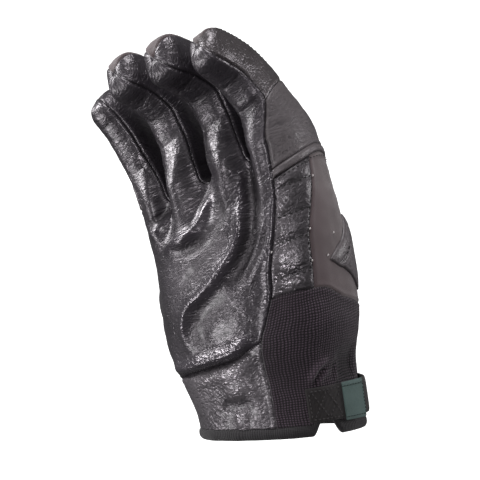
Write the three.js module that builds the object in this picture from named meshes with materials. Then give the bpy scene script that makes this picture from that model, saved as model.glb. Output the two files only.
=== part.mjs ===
import * as THREE from "three";

// Left-hand work glove, held up as if worn: palm towards -Y, little finger towards +X,
// fingers up. The origin is the middle of the wrist opening.

// Driving dimensions in millimetres.
const webHeight = 124; // wrist rim to the finger webs
const handWidth = 104;
const palmDepth = 32; // middle of the hand out to the palm
const backDepth = 32; // middle of the hand out to the back
const fingerLength = 75; // web to tip of the longest finger
const fingerWidth = 24;
const fingerDepth = 25;
const webGap = 3; // between neighbouring finger walls at the webs
const webDip = 2; // sag of each web between the fingers
const rootBlend = 24; // length over which a finger leaves the hand's outline
const tipLength = 12;
const bendLength = 15; // length of one finger joint's bend
const palmValley = 11; // depth of the valleys between the finger roots
const backValley = 5;
const thumbLength = 66;
const thumbWidth = 27;
const thumbDepth = 25;
const thumbBlend = 26; // length over which the thumb leaves its hole's outline
const wall = 1.8; // leather with its cut-resistant liner
const knitWall = 1.5;
const seamGap = 0.6;
const bindingHeight = 5.5;
const bindingProud = 0.6; // binding outside and inside the wall
const notchHeight = 8; // slit in the rim under the strap
const guardPuff = 1.4; // padding of the side guard's cells
const pipingWidth = 3.6;
const pipingProud = 1.1;
const backPadProud = 3;
const backPadEdge = 1;
const strapHeight = 15.5;
const strapStart = 7; // height of the strap's lower edge above the rim
const strapThick = 1.5;
const labelWidth = 15;
const labelThick = 0.8;
const labelOverhang = 2; // past the strap's edges
const layerGap = 0.35; // between a piece and the one that it lies on
const weldStep = 0.001; // points nearer than this are one point

// Sections of the hand from the rim up. up is a share of webHeight; ulnar and dorsal
// place the middle, as shares of handWidth; flex and radial lean the section, in degrees;
// width, palm and back are shares of the sizes above; box is the outline's exponent.
const sectionColumns = ["up", "ulnar", "dorsal", "flex", "radial", "width", "palm", "back", "box"];
const handSections = [
  [0.0, 0.0, 0.0, 0, 8, 0.8, 0.91, 0.94, 2.3],
  [0.12, -0.02, -0.02, 2, 8, 0.82, 0.91, 0.91, 2.3],
  [0.25, -0.05, -0.05, 5, 9, 0.88, 0.91, 0.87, 2.4],
  [0.4, -0.064, -0.07, 8, 10, 0.975, 1.0, 0.92, 2.5],
  [0.6, -0.087, -0.105, 10, 13, 0.98, 0.97, 0.85, 2.5],
  [0.8, -0.125, -0.145, 13, 16, 0.98, 0.88, 0.82, 2.5],
  [1.0, -0.18, -0.195, 16, 19, 0.96, 0.81, 0.84, 2.6],
];

// Where the webs share out the outline between the fingers, in degrees from the
// little-finger side: along the palm and along the back.
const palmShares = [-40, -65, -90, -115, -140];
const backShares = [42, 66, 90, 114, 140];
const valleySpread = 8;
const valleyStart = 0.76; // share of webHeight at which the valleys begin

// Fingers. length, width, depth and taper are shares of the finger sizes; bends are in
// degrees at the shares of the finger's own length in bendsAt; splay leans it sideways.
const fingerRows = [
  { name: "little", length: 0.83, width: 0.95, depth: 1.08, taper: 0.84, splay: -4,
    bends: [6, 18, 30], bendsAt: [0.05, 0.38, 0.66] },
  { name: "ring", length: 0.98, width: 0.94, depth: 1.04, taper: 0.88, splay: -2.5,
    bends: [-3, 52, 22], bendsAt: [0.05, 0.52, 0.78] },
  { name: "middle", length: 0.99, width: 0.94, depth: 1.02, taper: 0.88, splay: -3.5,
    bends: [-4, 41, 28], bendsAt: [0.05, 0.54, 0.8] },
  { name: "index", length: 0.82, width: 0.88, depth: 1.02, taper: 0.88, splay: -7.5,
    bends: [1, 8, 20], bendsAt: [0.05, 0.55, 0.8] },
];
const fingerBox = 2.5;
const tipRound = 2.6;
const knuckleLobe = 0.46; // share of a finger's straight part that the knuckle guard covers

// Seams on the hand: angle in degrees against height share, then height against angle.
const palmSeam = [[0, -66], [0.2, -66], [0.3, -68], [0.38, -68], [0.44, -64], [0.53, -58], [0.62, -56],
  [0.76, -49], [0.84, -45], [1, -40]];
const guardSeam = [[0.5, -28], [0.6, -26], [0.7, -24], [0.78, -17], [0.88, -7], [1, 0]];
const wristSeam = [[-180, 0.23], [-131, 0.265], [-100, 0.292], [-86, 0.315], [-68, 0.375], [-40, 0.385],
  [20, 0.33], [90, 0.25], [180, 0.23]];
const knitSeam = [[-180, 0.375], [-120, 0.42], [-58, 0.517], [-30, 0.517], [-15, 0.503], [3, 0.45],
  [30, 0.42], [90, 0.39], [180, 0.375]];
const knuckleSeam = [[-180, 0.86], [-110, 0.84], [-60, 0.885], [-41, 0.91], [-12, 0.93], [10, 0.935],
  [60, 0.86], [120, 0.82], [180, 0.86]];
const notch = { angle: -26, halfWidth: 14 };
const strapFrom = -40;
const strapTo = 150;
const labelMiddle = -3;
const backPad = { angle: 24, height: 0.59, halfWidth: 34, halfHeight: 0.125 };

// How many faces run along each stretch of the hand and the fingers.
const rowsOf = { wrist: 3, knit: 2, guard: 9, piping: 2, knuckle: 2 };
const columnsOf = { side: 2, front: 5, guard: 3, edge: 4, back: 4 };
const guardCells = 3;
const thumbRows = 6; // guard rows that the thumb hole takes
const thumbHalfAngle = 27;
const thumbSeam = 170; // degrees, the seam between palm and back on the thumb side
const thumbRings = 9;
const thumbBend = 34; // degrees
const thumbBendFrom = 0.15; // share of the thumb's length
const thumbBendRate = 1.4;
const thumbRootSize = 1.1; // shares of the thumb's width and depth
const thumbTipSize = 0.86;
const tipRings = 5;
const lineStations = 160; // along each centre line
const outlineSamples = 64; // round a finger's outline
const settleRounds = 6;
const backPadFaces = 6;
const strapFaces = [2, 22];
const labelFaces = [3, 4];
const backPadLowCrown = 0.4; // crown at the pad's lower corner, as a share of the upper one's
const straightShares = [0, 0.1, 0.2, 0.33, knuckleLobe, 0.6, 0.74, 0.88, 1];

const degrees = Math.PI / 180;
const lerp = (a, b, share) => a + (b - a) * share;
const power = (x, exponent) => Math.sign(x) * Math.abs(x) ** exponent;
const smooth = (x) => {
  const s = Math.min(1, Math.max(0, x));
  return s * s * (3 - 2 * s);
};
const upTo = (count) => Array.from({ length: count + 1 }, (_, i) => i);
const steps = (count, from = 0, to = 1) => upTo(count).map((i) => lerp(from, to, i / count));

// Reads a table of [x, value] rows along smooth cubics through its rows.
function readTable(rows, x) {
  const last = rows.length - 1;
  const at = Math.min(rows[last][0], Math.max(rows[0][0], x));
  let k = 0;
  while (k < last - 1 && rows[k + 1][0] <= at) k++;
  const before = rows[Math.max(k - 1, 0)];
  const [a, b] = [rows[k], rows[k + 1]];
  const after = rows[Math.min(k + 2, last)];
  const step = b[0] - a[0];
  const s = (at - a[0]) / step;
  return a.map((start, c) => {
    const slopeA = (b[c] - before[c]) / (b[0] - before[0]);
    const slopeB = (after[c] - a[c]) / (after[0] - a[0]);
    return (2 * s ** 3 - 3 * s ** 2 + 1) * start + (s ** 3 - 2 * s ** 2 + s) * step * slopeA
      + (3 * s ** 2 - 2 * s ** 3) * b[c] + (s ** 3 - s ** 2) * step * slopeB;
  });
}
const seamAt = (rows, x) => readTable(rows, x)[1];
const wrapped = (angle) => (angle < -180 ? angle + 360 : angle);

// The hand's section at a height share: its middle, its axes and its outline's sizes.
function sectionAt(up) {
  const values = readTable(handSections, up);
  const section = Object.fromEntries(sectionColumns.map((column, c) => [column, values[c]]));
  const flex = section.flex * degrees;
  const lean = section.radial * degrees;
  section.x = new THREE.Vector3(Math.cos(lean), 0, Math.sin(lean));
  const forward = Math.cos(flex);
  section.z = new THREE.Vector3(-Math.sin(lean) * forward, -Math.sin(flex), Math.cos(lean) * forward);
  section.y = new THREE.Vector3().crossVectors(section.z, section.x);
  section.middle = new THREE.Vector3(section.ulnar * handWidth, section.dorsal * handWidth, up * webHeight);
  return section;
}

// A point of a section's outline, with valleys between the finger roots.
function outlinePoint(angle, section, up) {
  const turned = ((angle + 540) % 360) - 180;
  const c = Math.cos(turned * degrees);
  const s = Math.sin(turned * degrees);
  const isBack = s > 0;
  const shares = isBack ? backShares : palmShares;
  const depth = (isBack ? backValley : palmValley) * smooth((up - valleyStart) / (1 - valleyStart));
  const valleys = shares.slice(1, 4).map((at) => Math.exp(-(((turned - at) / valleySpread) ** 2)));
  const full = isBack ? backDepth * section.back : palmDepth * section.palm;
  const reach = full - depth * valleys.reduce((sum, valley) => sum + valley, 0);
  return [(section.width * handWidth / 2) * power(c, 2 / section.box), reach * power(s, 2 / section.box)];
}

function inSection(section, [x, y]) {
  return section.middle.clone().addScaledVector(section.x, x).addScaledVector(section.y, y);
}

function handPoint(angle, up) {
  const section = sectionAt(up);
  return inSection(section, outlinePoint(angle, section, up));
}

const web = sectionAt(1);
const webHalfAngle = webGap / 2 / (handWidth / 2) / degrees;

// The angles at which a finger's share of the outline starts and ends, palm and back.
function cellAngles(finger) {
  const inner = (k) => (k === 0 || k === fingerRows.length ? 0 : webHalfAngle);
  return {
    palmFrom: palmShares[finger] - inner(finger),
    palmTo: palmShares[finger + 1] + inner(finger + 1),
    backFrom: backShares[finger] + inner(finger),
    backTo: backShares[finger + 1] - inner(finger + 1),
  };
}

// A finger's outline at the webs. turn runs 0 to 4: little-finger side, back, thumb side, palm.
function cellPoint(finger, turn) {
  const t = ((turn % 4) + 4) % 4;
  const { palmFrom, palmTo, backFrom, backTo } = cellAngles(finger);
  const at = (angle) => outlinePoint(angle, web, 1);
  const between = (p, q, share) => [lerp(p[0], q[0], share), lerp(p[1], q[1], share)];
  if (t < 1) return finger === 0 ? at(lerp(palmFrom, backFrom, t)) : between(at(palmFrom), at(backFrom), t);
  if (t < 2) return at(lerp(backFrom, backTo, t - 1));
  if (t < 3) {
    const isLast = finger === fingerRows.length - 1;
    return isLast ? at(lerp(backTo, palmTo + 360, t - 2)) : between(at(backTo), at(palmTo), t - 2);
  }
  return at(lerp(palmTo, palmFrom, t - 3));
}

// A bending centre line as a function of the distance along it.
function centreLine(start, along, back, length, bendAt) {
  const count = lineStations;
  const across = new THREE.Vector3().crossVectors(back, along);
  const stations = [];
  const point = start.clone();
  for (let i = 0; i <= count; i++) {
    const bend = bendAt((i / count) * length) * degrees;
    const direction = along.clone().multiplyScalar(Math.cos(bend)).addScaledVector(back, -Math.sin(bend));
    const upper = back.clone().multiplyScalar(Math.cos(bend)).addScaledVector(along, Math.sin(bend));
    if (i) point.addScaledVector(direction, length / count);
    stations.push({ point: point.clone(), upper });
  }
  return (distance) => {
    const x = Math.min(count, Math.max(0, (distance / length) * count));
    const i = Math.min(count - 1, Math.floor(x));
    const [a, b] = [stations[i], stations[i + 1]];
    const point = a.point.clone().lerp(b.point, x - i);
    const upper = a.upper.clone().lerp(b.upper, x - i);
    return { point, upper, across };
  };
}

// The share of the full section that is left near a rounded tip.
function domeAt(distance, length) {
  const k = Math.min(1, Math.max(0, (distance - length + tipLength) / tipLength));
  return Math.max(0, 1 - k ** tipRound) ** (1 / tipRound);
}

const tubePoint = (station, angle, halfWidth, halfDepth) => station.point
  .addScaledVector(station.across, halfWidth * power(Math.cos(angle * degrees), 2 / fingerBox))
  .addScaledVector(station.upper, halfDepth * power(Math.sin(angle * degrees), 2 / fingerBox));

const fingers = fingerRows.map((row, index) => {
  const ring = steps(outlineSamples, 0, 4).map((turn) => cellPoint(index, turn));
  const middle = [0, 1].map((c) => {
    const values = ring.map((p) => p[c]);
    return (Math.min(...values) + Math.max(...values)) / 2;
  });
  const splay = row.splay * degrees;
  const along = web.z.clone().multiplyScalar(Math.cos(splay)).addScaledVector(web.x, Math.sin(splay));
  const length = row.length * fingerLength;
  const bendAt = (distance) => row.bends.reduce((sum, bend, i) =>
    sum + bend * smooth((distance - row.bendsAt[i] * length) / bendLength + 0.5), 0);
  return { ...row, index, length, line: centreLine(inSection(web, middle), along, web.y, length, bendAt) };
});

function fingerPoint(finger, turn, distance) {
  const size = lerp(1, finger.taper, distance / finger.length) * domeAt(distance, finger.length);
  const tube = tubePoint(finger.line(distance), 90 * turn - 45,
    (fingerWidth / 2) * finger.width * size, (fingerDepth / 2) * finger.depth * size);
  const cell = inSection(web, cellPoint(finger.index, turn)).addScaledVector(web.z, distance);
  return cell.lerp(tube, smooth(distance / rootBlend));
}

// The web between a finger and the next one towards the thumb. depth runs from the palm to
// the back, across from the one finger to the other.
function webPoint(finger, depth, across) {
  const a = inSection(web, cellPoint(finger, 3 - depth));
  const b = inSection(web, cellPoint(finger + 1, depth));
  return a.lerp(b, across).addScaledVector(web.z, -webDip * Math.sin(Math.PI * across));
}

// The hand's columns: each gives its angle at a height, and the web that its top lies in.
const columns = [];
const halfWebs = [0, 0.5, 1];
function addColumns(count, angleAt, extra = () => ({})) {
  for (const share of steps(count).slice(columns.length ? 1 : 0))
    columns.push({ angleAt: (up) => angleAt(up, share), ...extra(share) });
}

// Rows: heights by angle, each band's share between two seams.
const rimAt = (angle) =>
  (notchHeight / webHeight) * smooth(1.2 - Math.abs(angle - notch.angle) / notch.halfWidth * 1.2);
const bindingAt = (angle) => rimAt(angle) + bindingHeight / webHeight;
const wristAt = (angle) => seamAt(wristSeam, wrapped(angle));
const knitAt = (angle) => seamAt(knitSeam, wrapped(angle));
const pipingHalf = pipingWidth / 2 / webHeight;
const pipingLow = (angle) => seamAt(knuckleSeam, wrapped(angle)) - pipingHalf;
const pipingHigh = (angle) => seamAt(knuckleSeam, wrapped(angle)) + pipingHalf;
const rows = [];
function addRows(band, count, low, high) {
  for (const share of steps(count).slice(rows.length ? 1 : 0))
    rows.push({ band, share, heightAt: (angle) => lerp(low(angle), high(angle), share) });
}
addRows("binding", 1, rimAt, bindingAt);
addRows("wrist", rowsOf.wrist, bindingAt, wristAt);
addRows("knit", rowsOf.knit, wristAt, knitAt);
const thumbFirstRow = rows.length - 1;
addRows("guard", rowsOf.guard, knitAt, pipingLow);
addRows("piping", rowsOf.piping, pipingLow, pipingHigh);
addRows("knuckle", rowsOf.knuckle, pipingHigh, () => 1);

// The thumb's hole is an oval over the seam on the thumb side.
const thumbLow = rows[thumbFirstRow].heightAt(thumbSeam);
const thumbHigh = rows[thumbFirstRow + thumbRows].heightAt(thumbSeam);
const thumbMiddle = (thumbLow + thumbHigh) / 2;
function holeAt(up) {
  const across = (up - thumbMiddle) / ((thumbHigh - thumbLow) / 2);
  return thumbHalfAngle * Math.sqrt(Math.max(0, 1 - across ** 2));
}

const palmSeamAt = (up) => seamAt(palmSeam, up);
const guardSeamAt = (up) => seamAt(guardSeam, up);
const thumbCorner = palmShares[fingerRows.length];
const littleCorner = palmShares[0];
// Palm angles move with the seam at the little-finger side.
const palmAngle = (angle, up) =>
  thumbCorner + (angle - thumbCorner) * (palmSeamAt(up) - thumbCorner) / (littleCorner - thumbCorner);

addColumns(columnsOf.side, (up, share) => lerp(thumbSeam - 360 + holeAt(up), thumbCorner, share));
for (let finger = fingerRows.length - 1; finger >= 0; finger--) {
  const { palmFrom, palmTo } = cellAngles(finger);
  addColumns(columnsOf.front, (up, share) => palmAngle(lerp(palmTo, palmFrom, share), up));
  if (finger > 0)
    addColumns(2, (up, share) => palmAngle(palmFrom + 2 * webHalfAngle * share, up),
      (share) => ({ web: finger - 1, depth: 0, across: 1 - share }));
}
const palmSeamColumn = columns.length - 1;
addColumns(columnsOf.guard, (up, share) => lerp(palmSeamAt(up), guardSeamAt(up), share));
const guardSeamColumn = columns.length - 1;
addColumns(columnsOf.edge, (up, share) => lerp(guardSeamAt(up), backShares[0], share));
for (let finger = 0; finger < fingerRows.length; finger++) {
  const { backFrom, backTo } = cellAngles(finger);
  addColumns(columnsOf.back, (up, share) => lerp(backFrom, backTo, share));
  if (finger < fingerRows.length - 1)
    addColumns(2, (up, share) => backTo + 2 * webHalfAngle * share,
      (share) => ({ web: finger, depth: 1, across: share }));
}
addColumns(columnsOf.side,
  (up, share) => lerp(backShares[fingerRows.length], thumbSeam - holeAt(up), share));

// A point of the hand's grid. A row's height and a column's angle depend on each other, so
// they are settled in a few rounds.
function gridAngleAndHeight(row, column) {
  let angle = columns[column].angleAt(0.5);
  let up = rows[row].heightAt(angle);
  for (let round = 0; round < settleRounds; round++) {
    angle = columns[column].angleAt(up);
    up = rows[row].heightAt(angle);
  }
  return [angle, up];
}
function handGridPoint(row, column) {
  const { web: webIndex, depth, across } = columns[column];
  if (row === rows.length - 1 && webIndex !== undefined) return webPoint(webIndex, depth, across);
  return handPoint(...gridAngleAndHeight(row, column));
}

// The outer surface of all panels, welded into one mesh. Each face carries its panel's name.
const skin = { points: [], faces: [], lookup: new Map(), lift: new Map() };
function weld(point) {
  const key = point.toArray().map((c) => Math.round(c / weldStep)).join();
  if (!skin.lookup.has(key)) {
    skin.lookup.set(key, skin.points.length);
    skin.points.push(point.clone());
  }
  return skin.lookup.get(key);
}

function addGrid(rowCount, columnCount, pointAt, panelAt) {
  const grid = upTo(rowCount).map((i) => upTo(columnCount).map((j) => weld(pointAt(i, j))));
  for (let i = 0; i < rowCount; i++)
    for (let j = 0; j < columnCount; j++) {
      const panel = panelAt(i, j);
      const quad = [grid[i][j], grid[i][j + 1], grid[i + 1][j + 1], grid[i + 1][j]];
      for (const corners of [[quad[0], quad[1], quad[2]], [quad[0], quad[2], quad[3]]])
        if (new Set(corners).size === 3) skin.faces.push({ panel, corners });
    }
  return grid;
}

function handPanel(row, column) {
  const band = rows[row + 1].band;
  const isPalm = column < palmSeamColumn;
  if (band === "binding") return "cuff_binding";
  if (band === "wrist") return isPalm ? "cuff_leather" : "wrist_knit";
  if (isPalm) return "palm";
  if (band === "knit") return "wrist_knit";
  if (band === "guard") return column < guardSeamColumn ? "side_guard" : "hand_back";
  return band === "piping" ? "knuckle_piping" : "knuckle_guard";
}
const handGrid = addGrid(rows.length - 1, columns.length - 1, handGridPoint, handPanel);

// The turns of a finger's columns: sides on the hand's own outline follow its columns.
function fingerTurns(finger) {
  const { palmFrom, palmTo, backFrom, backTo } = cellAngles(finger);
  const topAngles = columns.map((column) => column.angleAt(1));
  const shares = (angles, from, to) => angles.map((angle) => (angle - from) / (to - from));
  const inner = steps(columnsOf.back);
  let littleSide = inner;
  if (finger === 0) {
    const angles = topAngles.slice(palmSeamColumn, guardSeamColumn + columnsOf.edge + 1);
    littleSide = shares(angles, palmFrom, backFrom);
  }
  let thumbSide = inner;
  if (finger === fingerRows.length - 1) {
    const onBack = topAngles.slice(-columnsOf.side - 1);
    const onPalm = topAngles.slice(1, columnsOf.side + 1).map((angle) => angle + 360);
    thumbSide = shares([...onBack, ...onPalm], backTo, palmTo + 360);
  }
  const parts = [littleSide, inner, thumbSide, steps(columnsOf.front)];
  return parts.flatMap((part, side) => part.slice(side ? 1 : 0).map((share) => side + share));
}

const betweenName = (finger) => `fourchette_${fingerRows[finger].name}_${fingerRows[finger + 1].name}`;
for (const finger of fingers) {
  const turns = fingerTurns(finger.index);
  const straight = finger.length - tipLength;
  const distances = [
    ...straightShares.map((share) => share * straight),
    ...steps(tipRings).slice(1).map((k) => straight + tipLength * Math.sin(k * Math.PI / 2)),
  ];
  const lobeRow = straightShares.indexOf(knuckleLobe);
  const isLast = finger.index === fingerRows.length - 1;
  const panelAt = (row, column) => {
    const side = Math.floor((turns[column] + turns[column + 1]) / 2);
    if (side === 3) return "palm";
    if (side === 0 && finger.index > 0) return betweenName(finger.index - 1);
    if (side === 2) return isLast ? "index_side_strip" : betweenName(finger.index);
    if (row < lobeRow) return "knuckle_guard";
    return side === 0 ? "little_side_strip" : `${finger.name}_finger_back`;
  };
  addGrid(distances.length - 1, turns.length - 1,
    (i, j) => fingerPoint(finger, turns[j], Math.min(distances[i], finger.length)), panelAt);
  if (!isLast)
    addGrid(columnsOf.back, halfWebs.length - 1,
      (i, j) => webPoint(finger.index, 1 - i / columnsOf.back, halfWebs[j]),
      () => betweenName(finger.index));
}

// The thumb leaves its oval hole and turns towards the back of the hand and upwards.
const thumbSection = sectionAt(thumbMiddle);
const thumbRoot = inSection(thumbSection, outlinePoint(thumbSeam, thumbSection, thumbMiddle));
const thumbAlong = new THREE.Vector3(-0.5, 0.52, 0.69).normalize();
const thumbLeave = new THREE.Vector3(-0.82, 0.22, 0.52).normalize();
const thumbBack = new THREE.Vector3(-0.45, 0.25, -0.6);
thumbBack.addScaledVector(thumbAlong, -thumbBack.dot(thumbAlong)).normalize();
const thumbLine = centreLine(thumbRoot, thumbAlong, thumbBack, thumbLength,
  (distance) => thumbBend * smooth((distance / thumbLength - thumbBendFrom) * thumbBendRate));

// The hole's points in order round it, from its lowest one along the back's edge.
const holeRing = [];
for (let row = thumbFirstRow; row <= thumbFirstRow + thumbRows; row++)
  holeRing.push({ point: handGridPoint(row, columns.length - 1), isBack: true });
for (let row = thumbFirstRow + thumbRows - 1; row > thumbFirstRow; row--)
  holeRing.push({ point: handGridPoint(row, 0), isBack: false });
const holeMiddle = holeRing.reduce((sum, { point }) => sum.add(point), new THREE.Vector3())
  .divideScalar(holeRing.length);
const thumbStart = thumbLine(0);
const holeAngles = holeRing.map(({ point }) => {
  const offset = point.clone().sub(holeMiddle);
  return Math.atan2(offset.dot(thumbStart.upper), offset.dot(thumbStart.across)) / degrees;
});

function thumbPoint(column, distance) {
  const k = column % holeRing.length;
  const size = lerp(thumbRootSize, thumbTipSize, distance / thumbLength) * domeAt(distance, thumbLength);
  const tube = tubePoint(thumbLine(distance), holeAngles[k],
    (thumbWidth / 2) * size, (thumbDepth / 2) * size);
  const hole = holeRing[k].point.clone().addScaledVector(thumbLeave, distance);
  return hole.lerp(tube, smooth(distance / thumbBlend));
}
const thumbStraight = thumbLength - tipLength;
const thumbDistances = [
  ...steps(thumbRings).map((share) => share * thumbStraight),
  ...steps(tipRings).slice(1).map((k) => thumbStraight + tipLength * Math.sin(k * Math.PI / 2)),
];
// The front panel reaches one face over the top and the bottom of the hole.
function thumbPanel(row, column) {
  const face = holeRing.length - column - 1;
  return face > 0 && face < thumbRows - 1 ? "thumb_back" : "thumb_front";
}
addGrid(thumbDistances.length - 1, holeRing.length,
  (i, j) => thumbPoint(holeRing.length - j, thumbDistances[i]), thumbPanel);

// Averaged normals of the whole skin, weighted by the angle of each face's corner, with the
// factor that keeps the wall's thickness where faces meet at an angle.
function faceNormal(points, [a, b, c]) {
  const u = points[b].clone().sub(points[a]);
  return u.cross(points[c].clone().sub(points[a])).normalize();
}
const skinNormals = skin.points.map(() => ({ sum: new THREE.Vector3(), faces: [] }));
for (const { corners } of skin.faces) {
  const normal = faceNormal(skin.points, corners);
  corners.forEach((corner, k) => {
    const p = skin.points[corner];
    const u = skin.points[corners[(k + 1) % 3]].clone().sub(p);
    const v = skin.points[corners[(k + 2) % 3]].clone().sub(p);
    const weight = u.angleTo(v);
    skinNormals[corner].sum.addScaledVector(normal, weight);
    skinNormals[corner].faces.push({ normal, weight });
  });
}
for (const entry of skinNormals) {
  entry.normal = entry.sum.clone().normalize();
  const total = entry.faces.reduce((sum, face) => sum + face.weight, 0);
  const facing = entry.faces.reduce((sum, face) => sum + face.weight * face.normal.dot(entry.normal), 0);
  entry.stretch = 1 / Math.max(0.9, facing / total);
}

// Raised cells of the side guard and the ridge of the knuckle piping, by grid point.
for (let row = 0; row < rows.length; row++)
  for (let column = 0; column < columns.length; column++) {
    const { band, share } = rows[row];
    const inGuard = column > palmSeamColumn && column < guardSeamColumn;
    if (band === "guard" && inGuard)
      skin.lift.set(handGrid[row][column], guardPuff * Math.abs(Math.sin(Math.PI * guardCells * share)));
    if (band === "piping" && share < 1 && column > palmSeamColumn && column < columns.length - 1)
      skin.lift.set(handGrid[row][column], pipingProud);
  }

function material(color, roughness, metalness = 0) {
  return new THREE.MeshStandardMaterial({ color, roughness, metalness });
}
const palmLeather = () => material(0x3a3639, 0.42);
const panelLeather = () => material(0x4a464a, 0.4);
const stretchFabric = () => material(0x4b4747, 0.85);
const knitFabric = () => material(0x232124, 0.95);
const labelFabric = () => material(0x2a4f44, 0.7);

const glove = new THREE.Group();
function addMesh(name, meshMaterial, positions, indices) {
  const geometry = new THREE.BufferGeometry();
  const numbers = positions.flatMap((point) => point.toArray());
  geometry.setAttribute("position", new THREE.Float32BufferAttribute(numbers, 3));
  geometry.setIndex(indices.flat());
  geometry.computeVertexNormals();
  const mesh = new THREE.Mesh(geometry, meshMaterial);
  mesh.name = name;
  glove.add(mesh);
}

// Where a panel's edge lies, moved into the panel by half the seam gap. Each edge gives the
// direction to its left, which is inwards.
function edgeShifts(edges, points, normals) {
  const lefts = new Map();
  for (const [a, b] of edges) {
    const along = points[b].clone().sub(points[a]);
    for (const corner of [a, b]) {
      const left = normals[corner].clone().cross(along).normalize();
      lefts.set(corner, [...(lefts.get(corner) ?? []), left]);
    }
  }
  return new Map([...lefts].map(([corner, list]) => {
    const [first, second] = [list[0], list[list.length - 1]];
    const scale = seamGap / 2 / Math.max(0.5, 1 + first.dot(second));
    return [corner, first.clone().add(second).multiplyScalar(scale)];
  }));
}

// Closes an outer surface into a solid: the inner surface, and a wall along each edge.
function closeSolid(outer, inner, faces, edges) {
  const size = outer.length;
  const walls = edges.flatMap(([a, b]) => [[b, a, a + size], [b, a + size, b + size]]);
  const insides = faces.map(([a, b, c]) => [c + size, b + size, a + size]);
  return [[...outer, ...inner], [...faces, ...insides, ...walls]];
}

function edgesOf(faces) {
  const used = new Set(faces.flatMap(([a, b, c]) => [`${a},${b}`, `${b},${c}`, `${c},${a}`]));
  return [...used].map((edge) => edge.split(",").map(Number)).filter(([a, b]) => !used.has(`${b},${a}`));
}

function addPanel(name, meshMaterial, thick = wall, proud = 0) {
  const chosen = skin.faces.filter((face) => face.panel === name).map((face) => face.corners);
  const numbers = [...new Set(chosen.flat())];
  const local = new Map(numbers.map((number, i) => [number, i]));
  const faces = chosen.map((corners) => corners.map((corner) => local.get(corner)));
  const points = numbers.map((number) => skin.points[number]);
  const entries = numbers.map((number) => skinNormals[number]);
  const edges = edgesOf(faces);
  const shifts = edgeShifts(edges, points, entries.map((entry) => entry.normal));
  const place = (depthAt) => points.map((point, i) => {
    const moved = point.clone().addScaledVector(entries[i].normal, depthAt(i));
    return shifts.has(i) ? moved.add(shifts.get(i)) : moved;
  });
  const liftAt = (i) => (shifts.has(i) && proud === 0 ? 0 : skin.lift.get(numbers[i]) ?? 0);
  const outer = place((i) => proud + liftAt(i));
  const inner = place((i) => -(thick + proud) * entries[i].stretch);
  addMesh(name, meshMaterial, ...closeSolid(outer, inner, faces, edges));
}

// A patch that lies on the hand: a grid of [angle, up] places, its underside at a lift and
// its thickness on top.
function addPatch(name, meshMaterial, rowCount, columnCount, placeAt, liftAt, thickAt) {
  const step = 0.01;
  const points = [];
  const normals = [];
  const lifts = [];
  const thicknesses = [];
  for (let i = 0; i <= rowCount; i++)
    for (let j = 0; j <= columnCount; j++) {
      const [angle, up] = placeAt(i / rowCount, j / columnCount);
      const low = handPoint(angle - 1, up);
      const alongAngle = handPoint(angle + 1, up).sub(low);
      const alongHeight = handPoint(angle, up + step).sub(handPoint(angle, up - step));
      points.push(handPoint(angle, up));
      normals.push(alongAngle.cross(alongHeight).normalize());
      lifts.push(liftAt(i / rowCount, j / columnCount));
      thicknesses.push(thickAt(i / rowCount, j / columnCount));
    }
  const faces = [];
  for (let i = 0; i < rowCount; i++)
    for (let j = 0; j < columnCount; j++) {
      const a = i * (columnCount + 1) + j;
      const d = a + columnCount + 1;
      faces.push([a, a + 1, d + 1], [a, d + 1, d]);
    }
  const place = (depthAt) => points.map((point, k) =>
    point.clone().addScaledVector(normals[k], depthAt(k)));
  const outer = place((k) => lifts[k] + thicknesses[k]);
  const inner = place((k) => lifts[k]);
  addMesh(name, meshMaterial, ...closeSolid(outer, inner, faces, edgesOf(faces)));
}

addPanel("palm", palmLeather());
addPanel("cuff_leather", panelLeather());
addPanel("side_guard", panelLeather());
addPanel("knuckle_guard", panelLeather());
addPanel("knuckle_piping", panelLeather());
addPanel("hand_back", stretchFabric());
addPanel("wrist_knit", knitFabric(), knitWall);
addPanel("cuff_binding", knitFabric(), wall, bindingProud);
addPanel("thumb_front", palmLeather());
addPanel("thumb_back", panelLeather());
addPanel("little_side_strip", panelLeather());
addPanel("index_side_strip", panelLeather());
for (const finger of fingers) {
  addPanel(`${finger.name}_finger_back`, stretchFabric());
  if (finger.index < fingerRows.length - 1) addPanel(betweenName(finger.index), palmLeather());
}

// A padded lozenge on the back of the hand, fullest towards its upper corner.
const lozenge = (i, j) => [
  backPad.angle + backPad.halfWidth * (j - i),
  backPad.height + backPad.halfHeight * (i + j - 1),
];
const crown = (share) => 1 - (2 * share - 1) ** 4;
const fullness = (i, j) => crown(i) * crown(j) * lerp(backPadLowCrown, 1, (i + j) / 2);
addPatch("back_pad", panelLeather(), backPadFaces, backPadFaces, lozenge, () => layerGap,
  (i, j) => lerp(backPadEdge, backPadProud, fullness(i, j)));

// The wrist strap lies round the back of the cuff, with the label folded over it.
const strapLow = strapStart / webHeight;
const strapHigh = (strapStart + strapHeight) / webHeight;
addPatch("wrist_strap", knitFabric(), ...strapFaces,
  (i, j) => [lerp(strapFrom, strapTo, j), lerp(strapLow, strapHigh, i)],
  () => bindingProud + layerGap, () => strapThick);
const labelHalfAngle = labelWidth / 2 / (handWidth * handSections[1][5] / 2) / degrees;
const overhang = labelOverhang / webHeight;
const labelPlace = (i, j) => [
  labelMiddle + labelHalfAngle * (2 * j - 1),
  lerp(strapLow - overhang / 2, strapHigh + overhang, i),
];
addPatch("strap_label", labelFabric(), ...labelFaces, labelPlace,
  () => bindingProud + 2 * layerGap + strapThick, () => labelThick);

export default glove;
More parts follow.
